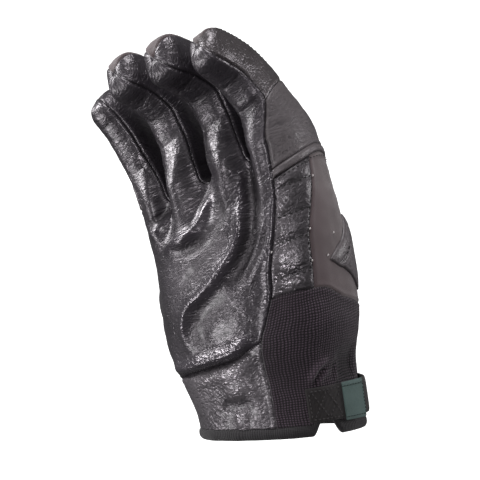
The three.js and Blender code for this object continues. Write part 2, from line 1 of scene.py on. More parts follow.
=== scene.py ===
import bpy
import numpy as np
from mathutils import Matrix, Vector


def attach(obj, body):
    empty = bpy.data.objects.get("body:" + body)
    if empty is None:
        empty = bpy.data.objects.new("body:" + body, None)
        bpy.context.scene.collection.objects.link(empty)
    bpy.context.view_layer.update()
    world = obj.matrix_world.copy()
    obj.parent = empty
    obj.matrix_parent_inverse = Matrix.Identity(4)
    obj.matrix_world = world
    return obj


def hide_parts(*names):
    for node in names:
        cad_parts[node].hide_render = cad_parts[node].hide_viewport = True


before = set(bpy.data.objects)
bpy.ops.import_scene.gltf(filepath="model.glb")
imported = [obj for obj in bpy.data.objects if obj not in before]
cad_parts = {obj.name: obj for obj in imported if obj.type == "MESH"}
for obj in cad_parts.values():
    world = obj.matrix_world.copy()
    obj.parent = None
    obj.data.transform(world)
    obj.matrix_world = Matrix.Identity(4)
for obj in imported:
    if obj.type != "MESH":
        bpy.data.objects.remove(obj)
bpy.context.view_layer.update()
print("frame loaded")

# Shapes are worked out in millimetres, palm towards -Y and fingers up, and put into meshes in metres.
mm = 0.001
degrees = np.pi / 180

hand = dict(webHeight=124.0, width=104.0, palmDepth=32.0, backDepth=32.0, webGap=3.0, webDip=2.5,
            dipBlend=0.08, palmValley=11.0, backValley=5.0, valleySpread=8.0, valleyStart=0.76)
# up, ulnar, dorsal, flex, radial, width, palm, back, box
handSections = [
    (0.0, 0.0, 0.0, 0, 8, 0.8, 0.91, 0.94, 2.3),
    (0.12, -0.02, -0.02, 2, 8, 0.82, 0.91, 0.91, 2.3),
    (0.25, -0.05, -0.05, 5, 9, 0.88, 0.91, 0.87, 2.4),
    (0.4, -0.064, -0.07, 8, 10, 0.975, 1.0, 0.92, 2.5),
    (0.6, -0.087, -0.105, 10, 13, 0.98, 0.97, 0.85, 2.5),
    (0.8, -0.125, -0.145, 13, 16, 0.98, 0.88, 0.82, 2.5),
    (1.0, -0.18, -0.195, 16, 19, 0.96, 0.81, 0.84, 2.6),
]
palmShares = [-40, -65, -90, -115, -140]  # degrees round the palm where the fingers part
backShares = [42, 66, 90, 114, 140]
fingerSize = dict(length=75.0, width=24.0, depth=25.0, rootBlend=24.0, tip=12.0, bend=21.0,
                  box=2.9, tipRound=3.1, lobe=0.46, lobeRound=0.07)
fingerRows = [
    dict(name="little", length=0.83, width=0.95, depth=1.08, taper=0.77, splay=-4,
         bends=(6, 18, 30), at=(0.05, 0.38, 0.66)),
    dict(name="ring", length=0.98, width=0.94, depth=1.04, taper=0.88, splay=-2.5,
         bends=(-3, 52, 22), at=(0.05, 0.52, 0.78)),
    dict(name="middle", length=0.99, width=0.94, depth=1.02, taper=0.88, splay=-3.5,
         bends=(-4, 41, 28), at=(0.05, 0.54, 0.8)),
    dict(name="index", length=0.82, width=0.88, depth=1.02, taper=0.83, splay=-7,
         bends=(1, 8, 20), at=(0.05, 0.55, 0.8)),
]
thumb = dict(length=66.0, width=27.0, depth=25.0, blend=26.0, seam=170.0, halfAngle=27.0, holeShare=2 / 3,
             rowEase=0.6, bend=34.0, bendFrom=0.15, bendRate=1.4, wide=1.1, narrow=0.86, backFrom=1 / 6)
# Seams: height share and angle, then angle and height share.
palmSeam = [(0, -66), (0.2, -66), (0.3, -68), (0.38, -68), (0.44, -64), (0.53, -58), (0.62, -56),
            (0.76, -49), (0.84, -45), (1, -40)]
guardSeam = [(0.5, -28), (0.6, -26), (0.7, -24), (0.78, -17), (0.88, -7), (1, 0)]
wristSeam = [(-180, 0.23), (-131, 0.265), (-100, 0.292), (-86, 0.315), (-68, 0.375), (-40, 0.385),
             (20, 0.33), (90, 0.25), (180, 0.23)]
knitSeam = [(-180, 0.375), (-120, 0.42), (-58, 0.517), (-30, 0.517), (-15, 0.503), (3, 0.45),
            (30, 0.42), (90, 0.39), (180, 0.375)]
knuckleSeam = [(-180, 0.86), (-110, 0.84), (-60, 0.885), (-41, 0.91), (-12, 0.93), (10, 0.935),
               (60, 0.86), (120, 0.82), (180, 0.86)]
rim = dict(notchHeight=8.0, notchAngle=-26.0, notchHalf=14.0, notchFade=1.2, binding=5.5)
wallThick = dict(leather=1.6, fabric=1.2, knit=1.4)


# Hermite cubics through the rows of a table of x and values, read at every x of an array.
def readTable(rows, x):
    table = np.array(rows, float)
    last = len(table) - 1
    x = np.clip(np.asarray(x, float), table[0, 0], table[-1, 0])
    k = np.clip(np.searchsorted(table[:, 0], x, side="right") - 1, 0, last - 1)
    before, a, b, after = (table[np.clip(k + step, 0, last)] for step in (-1, 0, 1, 2))
    span = b[..., :1] - a[..., :1]
    s = (x[..., None] - a[..., :1]) / span
    slopeA = (b - before) / (b[..., :1] - before[..., :1])
    slopeB = (after - a) / (after[..., :1] - a[..., :1])
    return ((2 * s**3 - 3 * s**2 + 1) * a + (s**3 - 2 * s**2 + s) * span * slopeA
            + (3 * s**2 - 2 * s**3) * b + (s**3 - s**2) * span * slopeB)


def seamAt(rows, x):
    return readTable(rows, x)[..., 1]


def wrapped(angle):
    return np.where(angle < -180, angle + 360, angle)


def smooth(x):
    s = np.clip(x, 0, 1)
    return s * s * (3 - 2 * s)


def power(x, exponent):
    return np.sign(x) * np.abs(x) ** exponent


def mix(a, b, share):
    return a + (b - a) * share


def unit(vectors):
    return vectors / np.maximum(np.linalg.norm(vectors, axis=-1, keepdims=True), 1e-9)


# The four corners of each cell of a grid, stacked behind its two axes.
def cornersOf(grid):
    return np.stack([grid[:-1, :-1], grid[:-1, 1:], grid[1:, 1:], grid[1:, :-1]], 2)


def gridNumbers(rowCount, count):
    return np.arange(rowCount * count).reshape(rowCount, count)


# The sides of each face, as pairs of neighbouring corners: all first sides, then all second ones.
def sidesOf(faces):
    return np.concatenate([np.stack(pair, 1) for pair in zip(faces.T, np.roll(faces, -1, 1).T)])


def placed(name, data):
    thing = bpy.data.objects.new(name, data)
    bpy.context.scene.collection.objects.link(thing)
    return thing


# The hand's section at a height share: middle, axes and sizes, read from the table.
def sectionAt(up):
    values = readTable(handSections, up)
    names = ("up", "ulnar", "dorsal", "flex", "radial", "wide", "palm", "back", "box")
    section = {name: values[..., i] for i, name in enumerate(names)}
    flex, lean = section["flex"] * degrees, section["radial"] * degrees
    zero = np.zeros_like(flex)
    section["x"] = np.stack([np.cos(lean), zero, np.sin(lean)], -1)
    section["z"] = np.stack([-np.sin(lean) * np.cos(flex), -np.sin(flex), np.cos(lean) * np.cos(flex)], -1)
    section["y"] = np.cross(section["z"], section["x"])
    section["middle"] = np.stack([section["ulnar"] * hand["width"], section["dorsal"] * hand["width"],
                                  np.asarray(up, float) * hand["webHeight"]], -1)
    return section


def bellsAt(angle, shares):
    return sum(np.exp(-(((angle - at) / hand["valleySpread"]) ** 2)) for at in shares[1:-1])


# A superellipse of angle whose reach falls by a bell curve in each valley between two finger roots.
def outlineAt(angle, section, up):
    turned = (np.asarray(angle, float) + 540) % 360 - 180
    c, s = np.cos(turned * degrees), np.sin(turned * degrees)
    rise = smooth((up - hand["valleyStart"]) / (1 - hand["valleyStart"]))
    palmReach = hand["palmDepth"] * section["palm"] - hand["palmValley"] * rise * bellsAt(turned, palmShares)
    backReach = hand["backDepth"] * section["back"] - hand["backValley"] * rise * bellsAt(turned, backShares)
    return (section["wide"] * hand["width"] / 2 * power(c, 2 / section["box"]),
            np.where(s > 0, backReach, palmReach) * power(s, 2 / section["box"]))


def inSection(section, x, y):
    x, y = np.asarray(x)[..., None], np.asarray(y)[..., None]
    return section["middle"] + section["x"] * x + section["y"] * y


# A point of the hand at an angle and a height share.
def handPoint(angle, up):
    angle, up = np.broadcast_arrays(np.asarray(angle, float), np.asarray(up, float))
    section = sectionAt(up)
    return inSection(section, *outlineAt(angle, section, up))


# The hand's outward normal, from the cross product of its two slopes.
def handNormal(angle, up):
    alongAngle = handPoint(angle + 1, up) - handPoint(angle - 1, up)
    alongHeight = handPoint(angle, up + 0.01) - handPoint(angle, up - 0.01)
    return unit(np.cross(alongAngle, alongHeight))


web = sectionAt(np.array(1.0))
webHalf = hand["webGap"] / 2 / (hand["width"] / 2) / degrees
lastFinger = len(fingerRows) - 1


def cellAngles(finger):
    low = 0 if finger == 0 else webHalf
    high = 0 if finger == lastFinger else webHalf
    return (palmShares[finger] - low, palmShares[finger + 1] + high,
            backShares[finger] + low, backShares[finger + 1] - high)


def webOutline(angle):
    return np.stack(outlineAt(angle, web, 1.0), -1)


# A finger's outline at the webs: turn runs over little-finger side, back, thumb side and palm.
def cellPoint(finger, turn):
    turn = np.asarray(turn, float)
    palmFrom, palmTo, backFrom, backTo = cellAngles(finger)
    sides = []
    t = turn[..., None]
    if finger == 0:
        sides.append(webOutline(mix(palmFrom, backFrom, turn)))
    else:
        sides.append(mix(webOutline(palmFrom), webOutline(backFrom), t))
    sides.append(webOutline(mix(backFrom, backTo, turn - 1)))
    if finger == lastFinger:
        sides.append(webOutline(mix(backTo, palmTo + 360, turn - 2)))
    else:
        sides.append(mix(webOutline(backTo), webOutline(palmTo), t - 2))
    sides.append(webOutline(mix(palmTo, palmFrom, turn - 3)))
    return np.select([t < 1, t < 2, t < 3, t >= 3], sides)


lineSteps = 160


# A centre line that bends towards the palm: its direction turns by the bend at each distance.
def centreLine(start, along, back, length, bendAt):
    distance = np.linspace(0, length, lineSteps + 1)
    bend = bendAt(distance)[:, None] * degrees
    direction = np.cos(bend) * along - np.sin(bend) * back
    upper = np.cos(bend) * back + np.sin(bend) * along
    steps = np.vstack([np.zeros(3), direction[1:] * length / lineSteps])
    return dict(distance=distance, point=start + np.cumsum(steps, 0), upper=upper,
                across=np.cross(back, along))


def stationAt(line, distance):
    read = [np.stack([np.interp(distance, line["distance"], line[name][:, c]) for c in range(3)], -1)
            for name in ("point", "upper")]
    return read[0], read[1], line["across"]


def domeAt(distance, length, tip):
    k = np.clip((distance - length + tip) / tip, 0, 1)
    return np.maximum(0, 1 - k ** fingerSize["tipRound"]) ** (1 / fingerSize["tipRound"])


# A superellipse tube round a centre line.
def tubePoint(line, distance, angle, halfWidth, halfDepth):
    point, upper, across = stationAt(line, distance)
    x = halfWidth * power(np.cos(angle * degrees), 2 / fingerSize["box"])
    y = halfDepth * power(np.sin(angle * degrees), 2 / fingerSize["box"])
    return point + across * x[..., None] + upper * y[..., None]


def makeFinger(index, row):
    ring = cellPoint(index, np.arange(65) / 16 % 4)
    middle = (ring.min(0) + ring.max(0)) / 2
    splay = row["splay"] * degrees
    along = web["z"] * np.cos(splay) + web["x"] * np.sin(splay)
    length = row["length"] * fingerSize["length"]

    def bendAt(distance):
        return sum(bend * smooth((distance - at * length) / fingerSize["bend"] + 0.5)
                   for bend, at in zip(row["bends"], row["at"]))

    line = centreLine(inSection(web, middle[0], middle[1]), along, web["y"], length, bendAt)
    return dict(row, index=index, reach=length, line=line)


fingers = [makeFinger(index, row) for index, row in enumerate(fingerRows)]


# A finger: its cell at the webs, carried up, turns into a tapered tube over the root's length.
def fingerPoint(finger, turn, distance):
    turn, distance = np.broadcast_arrays(np.asarray(turn, float), np.asarray(distance, float))
    length = finger["reach"]
    size = mix(1, finger["taper"], distance / length) * domeAt(distance, length, fingerSize["tip"])
    halfWidth = fingerSize["width"] / 2 * finger["width"] * size
    halfDepth = fingerSize["depth"] / 2 * finger["depth"] * size
    tube = tubePoint(finger["line"], distance, 90 * turn - 45, halfWidth, halfDepth)
    cell = cellPoint(finger["index"], turn)
    carried = inSection(web, cell[..., 0], cell[..., 1]) + web["z"] * distance[..., None]
    return mix(carried, tube, smooth(distance / fingerSize["rootBlend"])[..., None])


# The web between two fingers: ruled from the palm's outline to the back's, sagging in the middle.
def webPoint(finger, depth, across):
    depth, across = np.broadcast_arrays(np.asarray(depth, float), np.asarray(across, float))
    _, palmTo, _, backTo = cellAngles(finger)
    palmFrom, _, backFrom, _ = cellAngles(finger + 1)
    palmSide = webOutline(mix(palmTo, palmFrom, across))
    backSide = webOutline(mix(backTo, backFrom, across))
    flat = mix(palmSide, backSide, depth[..., None])
    dip = hand["webDip"] * np.sin(np.pi * across)
    return inSection(web, flat[..., 0], flat[..., 1]) - web["z"] * dip[..., None]


# How many faces run along each stretch of the hand and the fingers.
rowsOf = dict(wrist=46, knit=18, hole=44, guard=28, piping=8, knuckle=14)
columnsOf = dict(side=14, front=34, web=4, guard=34, edge=50, back=34)
fingerRings = dict(lobe=36, straight=44, tip=16)
thumbRings = dict(straight=66, tip=16, measured=30)
settleRounds = 12
seamRounds = 14
pipingHalf = 1.8 / hand["webHeight"]


# The seams between the bands: heights at an angle, and the angles of the two long seams at a height.
def rimAt(angle):
    offset = np.abs(angle - rim["notchAngle"]) / rim["notchHalf"]
    return rim["notchHeight"] / hand["webHeight"] * smooth(rim["notchFade"] - offset * rim["notchFade"])


def bindingAt(angle):
    return rimAt(angle) + rim["binding"] / hand["webHeight"]


def wristAt(angle):
    return seamAt(wristSeam, wrapped(angle))


def knitAt(angle):
    return seamAt(knitSeam, wrapped(angle))


def pipingLow(angle):
    return seamAt(knuckleSeam, wrapped(angle)) - pipingHalf


def pipingHigh(angle):
    return seamAt(knuckleSeam, wrapped(angle)) + pipingHalf


def topAt(angle):
    return np.ones_like(np.asarray(angle, float))


def palmSeamAt(up):
    return seamAt(palmSeam, up)


def guardSeamAt(up):
    return seamAt(guardSeam, up)


def palmAngle(angle, up):
    corner = palmShares[-1]
    return corner + (angle - corner) * (palmSeamAt(up) - corner) / (palmShares[0] - corner)


def sharesOf(band):
    return np.linspace(0, 1, rowsOf[band] + 1)


# Rows: a band with its share between two seams. Rows close up at the ends of the thumb's hole.
holeSteps = sharesOf("hole")
holeShares = thumb["holeShare"] * mix(holeSteps, (1 - np.cos(np.pi * holeSteps)) / 2, thumb["rowEase"])
aboveHole = np.linspace(thumb["holeShare"], 1, rowsOf["guard"] + 1)
bands = [
    ("wrist", sharesOf("wrist"), bindingAt, wristAt),
    ("knit", sharesOf("knit")[1:], wristAt, knitAt),
    ("guard", np.concatenate([holeShares, aboveHole[1:]])[1:], knitAt, pipingLow),
    ("piping", sharesOf("piping")[1:], pipingLow, pipingHigh),
    ("knuckle", sharesOf("knuckle")[1:], pipingHigh, topAt),
]
rowBand = np.array([name for name, shares, _, _ in bands for _ in shares])
firstHole = rowsOf["wrist"] + rowsOf["knit"]
lastHole = firstHole + rowsOf["hole"]
holeHalf = np.zeros(len(rowBand))
holeHalf[firstHole:lastHole + 1] = thumb["halfAngle"] * np.sqrt(
    np.maximum(0, 1 - (2 * holeShares / thumb["holeShare"] - 1) ** 2))

# Columns: each stretch runs between two seams, with the web that its top lies in.
stretches = []


def addStretch(columns, zone, low, high, webOf=-1):
    stretches.append((columnsOf[columns], low, high, zone, webOf))


addStretch("side", "palm", lambda up, hole: thumb["seam"] - 360 + hole, lambda up, hole: palmShares[-1])
for index in range(lastFinger, -1, -1):
    palmFrom, palmTo, _, _ = cellAngles(index)
    addStretch("front", "palm", lambda up, hole, a=palmTo: palmAngle(a, up),
               lambda up, hole, a=palmFrom: palmAngle(a, up))
    if index > 0:
        addStretch("web", "palm", lambda up, hole, a=palmFrom: palmAngle(a, up),
                   lambda up, hole, a=palmFrom: palmAngle(a + 2 * webHalf, up), index - 1)
addStretch("guard", "guard", lambda up, hole: palmSeamAt(up), lambda up, hole: guardSeamAt(up))
addStretch("edge", "back", lambda up, hole: guardSeamAt(up), lambda up, hole: backShares[0])
for index in range(lastFinger + 1):
    _, _, backFrom, backTo = cellAngles(index)
    addStretch("back", "back", lambda up, hole, a=backFrom: a, lambda up, hole, a=backTo: a)
    if index < lastFinger:
        addStretch("web", "back", lambda up, hole, a=backTo: a,
                   lambda up, hole, a=backTo: a + 2 * webHalf, index)
addStretch("side", "back", lambda up, hole: backShares[-1], lambda up, hole: thumb["seam"] - hole)


# Angles of the whole grid at given heights: each stretch is mixed between its two seams.
def gridAngles(up):
    parts = []
    start = 0
    for count, low, high, _, _ in stretches:
        share = np.linspace(0, 1, count + 1)[1 if start else 0:]
        heights = up[:, start:start + len(share)]
        hole = holeHalf[:, None]
        part = mix(low(heights, hole), high(heights, hole), share)
        parts.append(np.broadcast_to(part, (len(rowBand), len(share))))
        start += len(share)
    return np.concatenate(parts, 1)


def gridHeights(angles):
    return np.concatenate([
        mix(low(angles[rowBand == name]), high(angles[rowBand == name]), shares[:, None])
        for name, shares, low, high in bands])


columnCount = sum(stretch[0] for stretch in stretches) + 1
gridUp = np.full((len(rowBand), columnCount), 0.5)
for _ in range(settleRounds):
    gridAngle = gridAngles(gridUp)
    gridUp = gridHeights(gridAngle)
faceZone = np.array([zone for count, _, _, zone, _ in stretches for _ in range(count)])

# Fold the top rows down into the webs.
handGrid = handPoint(gridAngle, gridUp)
acrossWeb = np.zeros(columnCount)
start = 0
for count, _, _, _, webOf in stretches:
    if webOf >= 0:
        acrossWeb[start:start + count + 1] = np.linspace(0, 1, count + 1)
    start += count
nearTop = smooth((gridUp - 1 + hand["dipBlend"]) / hand["dipBlend"])
sag = hand["webDip"] * np.sin(np.pi * acrossWeb) * nearTop
handGrid = handGrid - web["z"] * sag[..., None]

# The skin: grids of points that are welded together, with a panel for each face.
panelNames = []
skin = dict(points=[], quads=[], panels=[], uvs=[], angles=[], heights=[])


def panelNumber(name):
    if name not in panelNames:
        panelNames.append(name)
    return panelNames.index(name)


# Adds a grid of points, its faces between neighbouring rows and columns, and its UVs in centimetres.
def addGrid(points, panels, uvU, uvV, angles=None, heights=None):
    rowCount, count = points.shape[:2]
    offset = sum(len(part) for part in skin["points"])
    uv = np.stack(np.broadcast_arrays(uvU, uvV), -1)
    skin["points"].append(points.reshape(-1, 3))
    skin["quads"].append(cornersOf(offset + gridNumbers(rowCount, count)).reshape(-1, 4))
    skin["uvs"].append(cornersOf(uv).reshape(-1, 4, 2))
    skin["panels"].append(panels.reshape(-1))
    blank = np.full(rowCount * count, np.nan)
    skin["angles"].append(blank if angles is None else angles.reshape(-1))
    skin["heights"].append(blank if heights is None else heights.reshape(-1))


# Lengths along a row of points, added up, in centimetres.
def lengthsAlong(points):
    return np.concatenate([[0], np.cumsum(np.linalg.norm(np.diff(points, axis=0), axis=1))]) / 10


columnU = lengthsAlong(handPoint(gridAngle[firstHole], np.full(columnCount, 0.6)))
handV = gridUp * hand["webHeight"] / 10


# The panel of each face of the hand. Where two rules hold, the later one counts.
def handPanels():
    names = np.full((len(rowBand) - 1, columnCount - 1), panelNumber("hand_back"))
    band = rowBand[1:, None]
    palm = (faceZone == "palm")[None, :]
    rules = [
        ("side_guard", (band == "guard") & (faceZone == "guard")[None, :]),
        ("knuckle_piping", band == "piping"), ("knuckle_guard", band == "knuckle"),
        ("wrist_knit", band == "knit"), ("palm", palm), ("cuff_leather", (band == "wrist") & palm),
        ("wrist_knit", (band == "wrist") & ~palm),
    ]
    for name, where in rules:
        names[np.broadcast_to(where, names.shape)] = panelNumber(name)
    return names


addGrid(handGrid, handPanels(), columnU[None, :], handV, gridAngle, gridUp)
palmSeamColumn = int(np.argmax(faceZone == "guard"))
edgeEndColumn = palmSeamColumn + columnsOf["guard"] + columnsOf["edge"]
print("hand grid", handGrid.shape[:2])


# Turns of a finger's columns. Sides that lie on the hand's outline follow the hand's columns.
def fingerTurns(finger):
    palmFrom, palmTo, backFrom, backTo = cellAngles(finger)
    top = gridAngle[-1]
    inner = np.linspace(0, 1, columnsOf["back"] + 1)
    little = thumbSide = inner
    if finger == 0:
        little = (top[palmSeamColumn:edgeEndColumn + 1] - palmFrom) / (backFrom - palmFrom)
    if finger == lastFinger:
        onBack = top[-columnsOf["side"] - 1:]
        onPalm = top[1:columnsOf["side"] + 1] + 360
        thumbSide = (np.concatenate([onBack, onPalm]) - backTo) / (palmTo + 360 - backTo)
    front = np.linspace(0, 1, columnsOf["front"] + 1)
    return np.concatenate([little, 1 + inner[1:], 2 + thumbSide[1:], 3 + front[1:]])


def betweenName(finger):
    return f"fourchette_{fingerRows[finger]['name']}_{fingerRows[finger + 1]['name']}"


# Ring distances on a tip, closer together towards its end by a sine.
def tipDistances(straight, count):
    return straight + fingerSize["tip"] * np.sin(np.linspace(0, 1, count + 1)[1:] * np.pi / 2)


# Distances of a finger's rings. The knuckle guard's lobe ends in a round edge: there the rings
# bend down towards its corners by the fourth power of the share across.
def ringDistances(finger, turns):
    straight = finger["reach"] - fingerSize["tip"]
    lobe = fingerSize["lobe"]
    share = np.concatenate([np.linspace(0, lobe, fingerRings["lobe"] + 1),
                            np.linspace(lobe, 1, fingerRings["straight"] + 1)[1:]])
    middle, half = (1, 1) if finger["index"] == 0 else (1.5, 0.5)
    across = np.clip(np.abs(turns - middle) / half, 0, 1) ** 4
    near = np.where(share < lobe, share / lobe, (1 - share) / (1 - lobe))
    warped = share[:, None] - fingerSize["lobeRound"] * smooth(near)[:, None] * across
    tip = tipDistances(straight, fingerRings["tip"])
    return np.vstack([warped * straight, np.repeat(tip[:, None], len(turns), 1)])


def fingerPanels(finger, turns):
    side = np.floor((turns[:-1] + turns[1:]) / 2).astype(int)
    ringCount = sum(fingerRings.values())
    names = np.zeros((ringCount, len(side)), int)
    index = finger["index"]
    isFirst, isLast = index == 0, index == lastFinger
    ownBack = panelNumber(f"{finger['name']}_finger_back")
    guard = panelNumber("knuckle_guard")
    onLobe = (np.arange(ringCount) < fingerRings["lobe"])[:, None]
    littleSide = panelNumber("little_side_strip" if isFirst else betweenName(index - 1))
    thumbSide = panelNumber("index_side_strip" if isLast else betweenName(index))
    names[:, side == 0] = np.where(onLobe & isFirst, guard, littleSide)
    names[:, side == 1] = np.where(onLobe, guard, ownBack)
    names[:, side == 2] = thumbSide
    names[:, side == 3] = panelNumber("palm")
    return names


for finger in fingers:
    turns = fingerTurns(finger["index"])
    distances = ringDistances(finger, turns)
    points = fingerPoint(finger, turns[None, :], distances)
    ring = lengthsAlong(points[fingerRings["lobe"]])
    addGrid(points, fingerPanels(finger, turns), ring[None, :], (hand["webHeight"] + distances) / 10)
    if finger["index"] < lastFinger:
        depth = np.linspace(1, 0, columnsOf["back"] + 1)[:, None]
        across = np.linspace(0, 1, columnsOf["web"] + 1)[None, :]
        webPanel = np.full((columnsOf["back"], columnsOf["web"]), panelNumber(betweenName(finger["index"])))
        addGrid(webPoint(finger["index"], depth, across), webPanel, across * hand["webGap"] / 10, depth * 3)
print("fingers done")

# The thumb's tube leaves the hole in the hand, whose rim it follows at first.
holeUp = [mix(knitAt(thumb["seam"]), pipingLow(thumb["seam"]), share) for share in (0, thumb["holeShare"])]
thumbSection = sectionAt(np.array(sum(holeUp) / 2))
thumbRoot = inSection(thumbSection, *outlineAt(thumb["seam"], thumbSection, sum(holeUp) / 2))
thumbAlong = unit(np.array([-0.5, 0.52, 0.69]))
thumbLeave = unit(np.array([-0.82, 0.22, 0.52]))
thumbBack = np.array([-0.45, 0.25, -0.6])
thumbBack = unit(thumbBack - thumbAlong * thumbBack.dot(thumbAlong))


def thumbBendAt(distance):
    return thumb["bend"] * smooth((distance / thumb["length"] - thumb["bendFrom"]) * thumb["bendRate"])


thumbLine = centreLine(thumbRoot, thumbAlong, thumbBack, thumb["length"], thumbBendAt)
holeRing = np.concatenate([handGrid[firstHole:lastHole + 1, -1], handGrid[firstHole:lastHole, 0][::-1]])
holeOffset = holeRing[:-1] - holeRing[:-1].mean(0)
holeAngles = np.arctan2(holeOffset @ thumbLine["upper"][0], holeOffset @ thumbLine["across"]) / degrees
holeAngles = np.append(holeAngles, holeAngles[0])


# The thumb: the hole's rim, carried along a straight way, turns into a tapered tube.
def thumbPoint(distance):
    size = (mix(thumb["wide"], thumb["narrow"], distance / thumb["length"])
            * domeAt(distance, thumb["length"], fingerSize["tip"]))
    distance, size = distance[:, None], size[:, None]
    tube = tubePoint(thumbLine, np.repeat(distance, len(holeRing), 1), holeAngles[None, :],
                     thumb["width"] / 2 * size, thumb["depth"] / 2 * size)
    carried = holeRing[None] + thumbLeave * distance[..., None]
    return mix(carried, tube, smooth(distance / thumb["blend"])[..., None])


straight = thumb["length"] - fingerSize["tip"]
thumbDistances = np.concatenate([np.linspace(0, straight, thumbRings["straight"] + 1),
                                 tipDistances(straight, thumbRings["tip"])])
thumbGrid = thumbPoint(thumbDistances)[:, ::-1]
faceShare = np.concatenate([holeShares[:-1] + np.diff(holeShares) / 2, np.zeros(rowsOf["hole"])])
faceShare = faceShare / thumb["holeShare"]
isThumbBack = ((faceShare > thumb["backFrom"]) & (faceShare < 1 - thumb["backFrom"]))[::-1]
thumbPanels = np.where(isThumbBack, panelNumber("thumb_back"), panelNumber("thumb_front"))
addGrid(thumbGrid, np.repeat(thumbPanels[None], len(thumbDistances) - 1, 0),
        lengthsAlong(thumbGrid[thumbRings["measured"]])[None, :], thumbDistances[:, None] / 10)
print("thumb done")

# Weld the grids where they meet.
allPoints = np.concatenate(skin["points"])
keys = np.round(allPoints * 1000).astype(np.int64)
_, first, welded = np.unique(keys, axis=0, return_index=True, return_inverse=True)
welded = welded.reshape(-1)
skinPoints = allPoints[first]
skinQuads = welded[np.concatenate(skin["quads"])]
skinUvs = np.concatenate(skin["uvs"])
skinPanels = np.concatenate(skin["panels"])
skinAngle = np.concatenate(skin["angles"])[first]
skinUp = np.concatenate(skin["heights"])[first]


# Normals of points: the cross products of the faces' diagonals, added up at each corner.
def normalsOf(points, quads):
    cross = np.cross(points[quads[:, 2]] - points[quads[:, 0]], points[quads[:, 3]] - points[quads[:, 1]])
    total = np.zeros_like(points)
    for corner in range(4):
        np.add.at(total, quads[:, corner], cross)
    return unit(total)


skinNormals = normalsOf(skinPoints, skinQuads)

# How far each point lies from the nearest seam, spread step by step along the faces' edges.
skinEdges = np.unique(np.sort(sidesOf(skinQuads), 1), axis=0)
skinEdges = skinEdges[skinEdges[:, 0] != skinEdges[:, 1]]
lowest = np.full(len(skinPoints), 999)
highest = np.full(len(skinPoints), -1)
for corner in range(4):
    np.minimum.at(lowest, skinQuads[:, corner], skinPanels)
    np.maximum.at(highest, skinQuads[:, corner], skinPanels)
seamDistance = np.where(lowest != highest, 0.0, 99.0)
edgeLength = np.linalg.norm(skinPoints[skinEdges[:, 0]] - skinPoints[skinEdges[:, 1]], axis=1)
for _ in range(seamRounds):
    ends = seamDistance[skinEdges] + edgeLength[:, None]
    np.minimum.at(seamDistance, skinEdges[:, 0], ends[:, 1])
    np.minimum.at(seamDistance, skinEdges[:, 1], ends[:, 0])
print("skin", len(skinPoints), "points,", len(skinQuads), "faces")

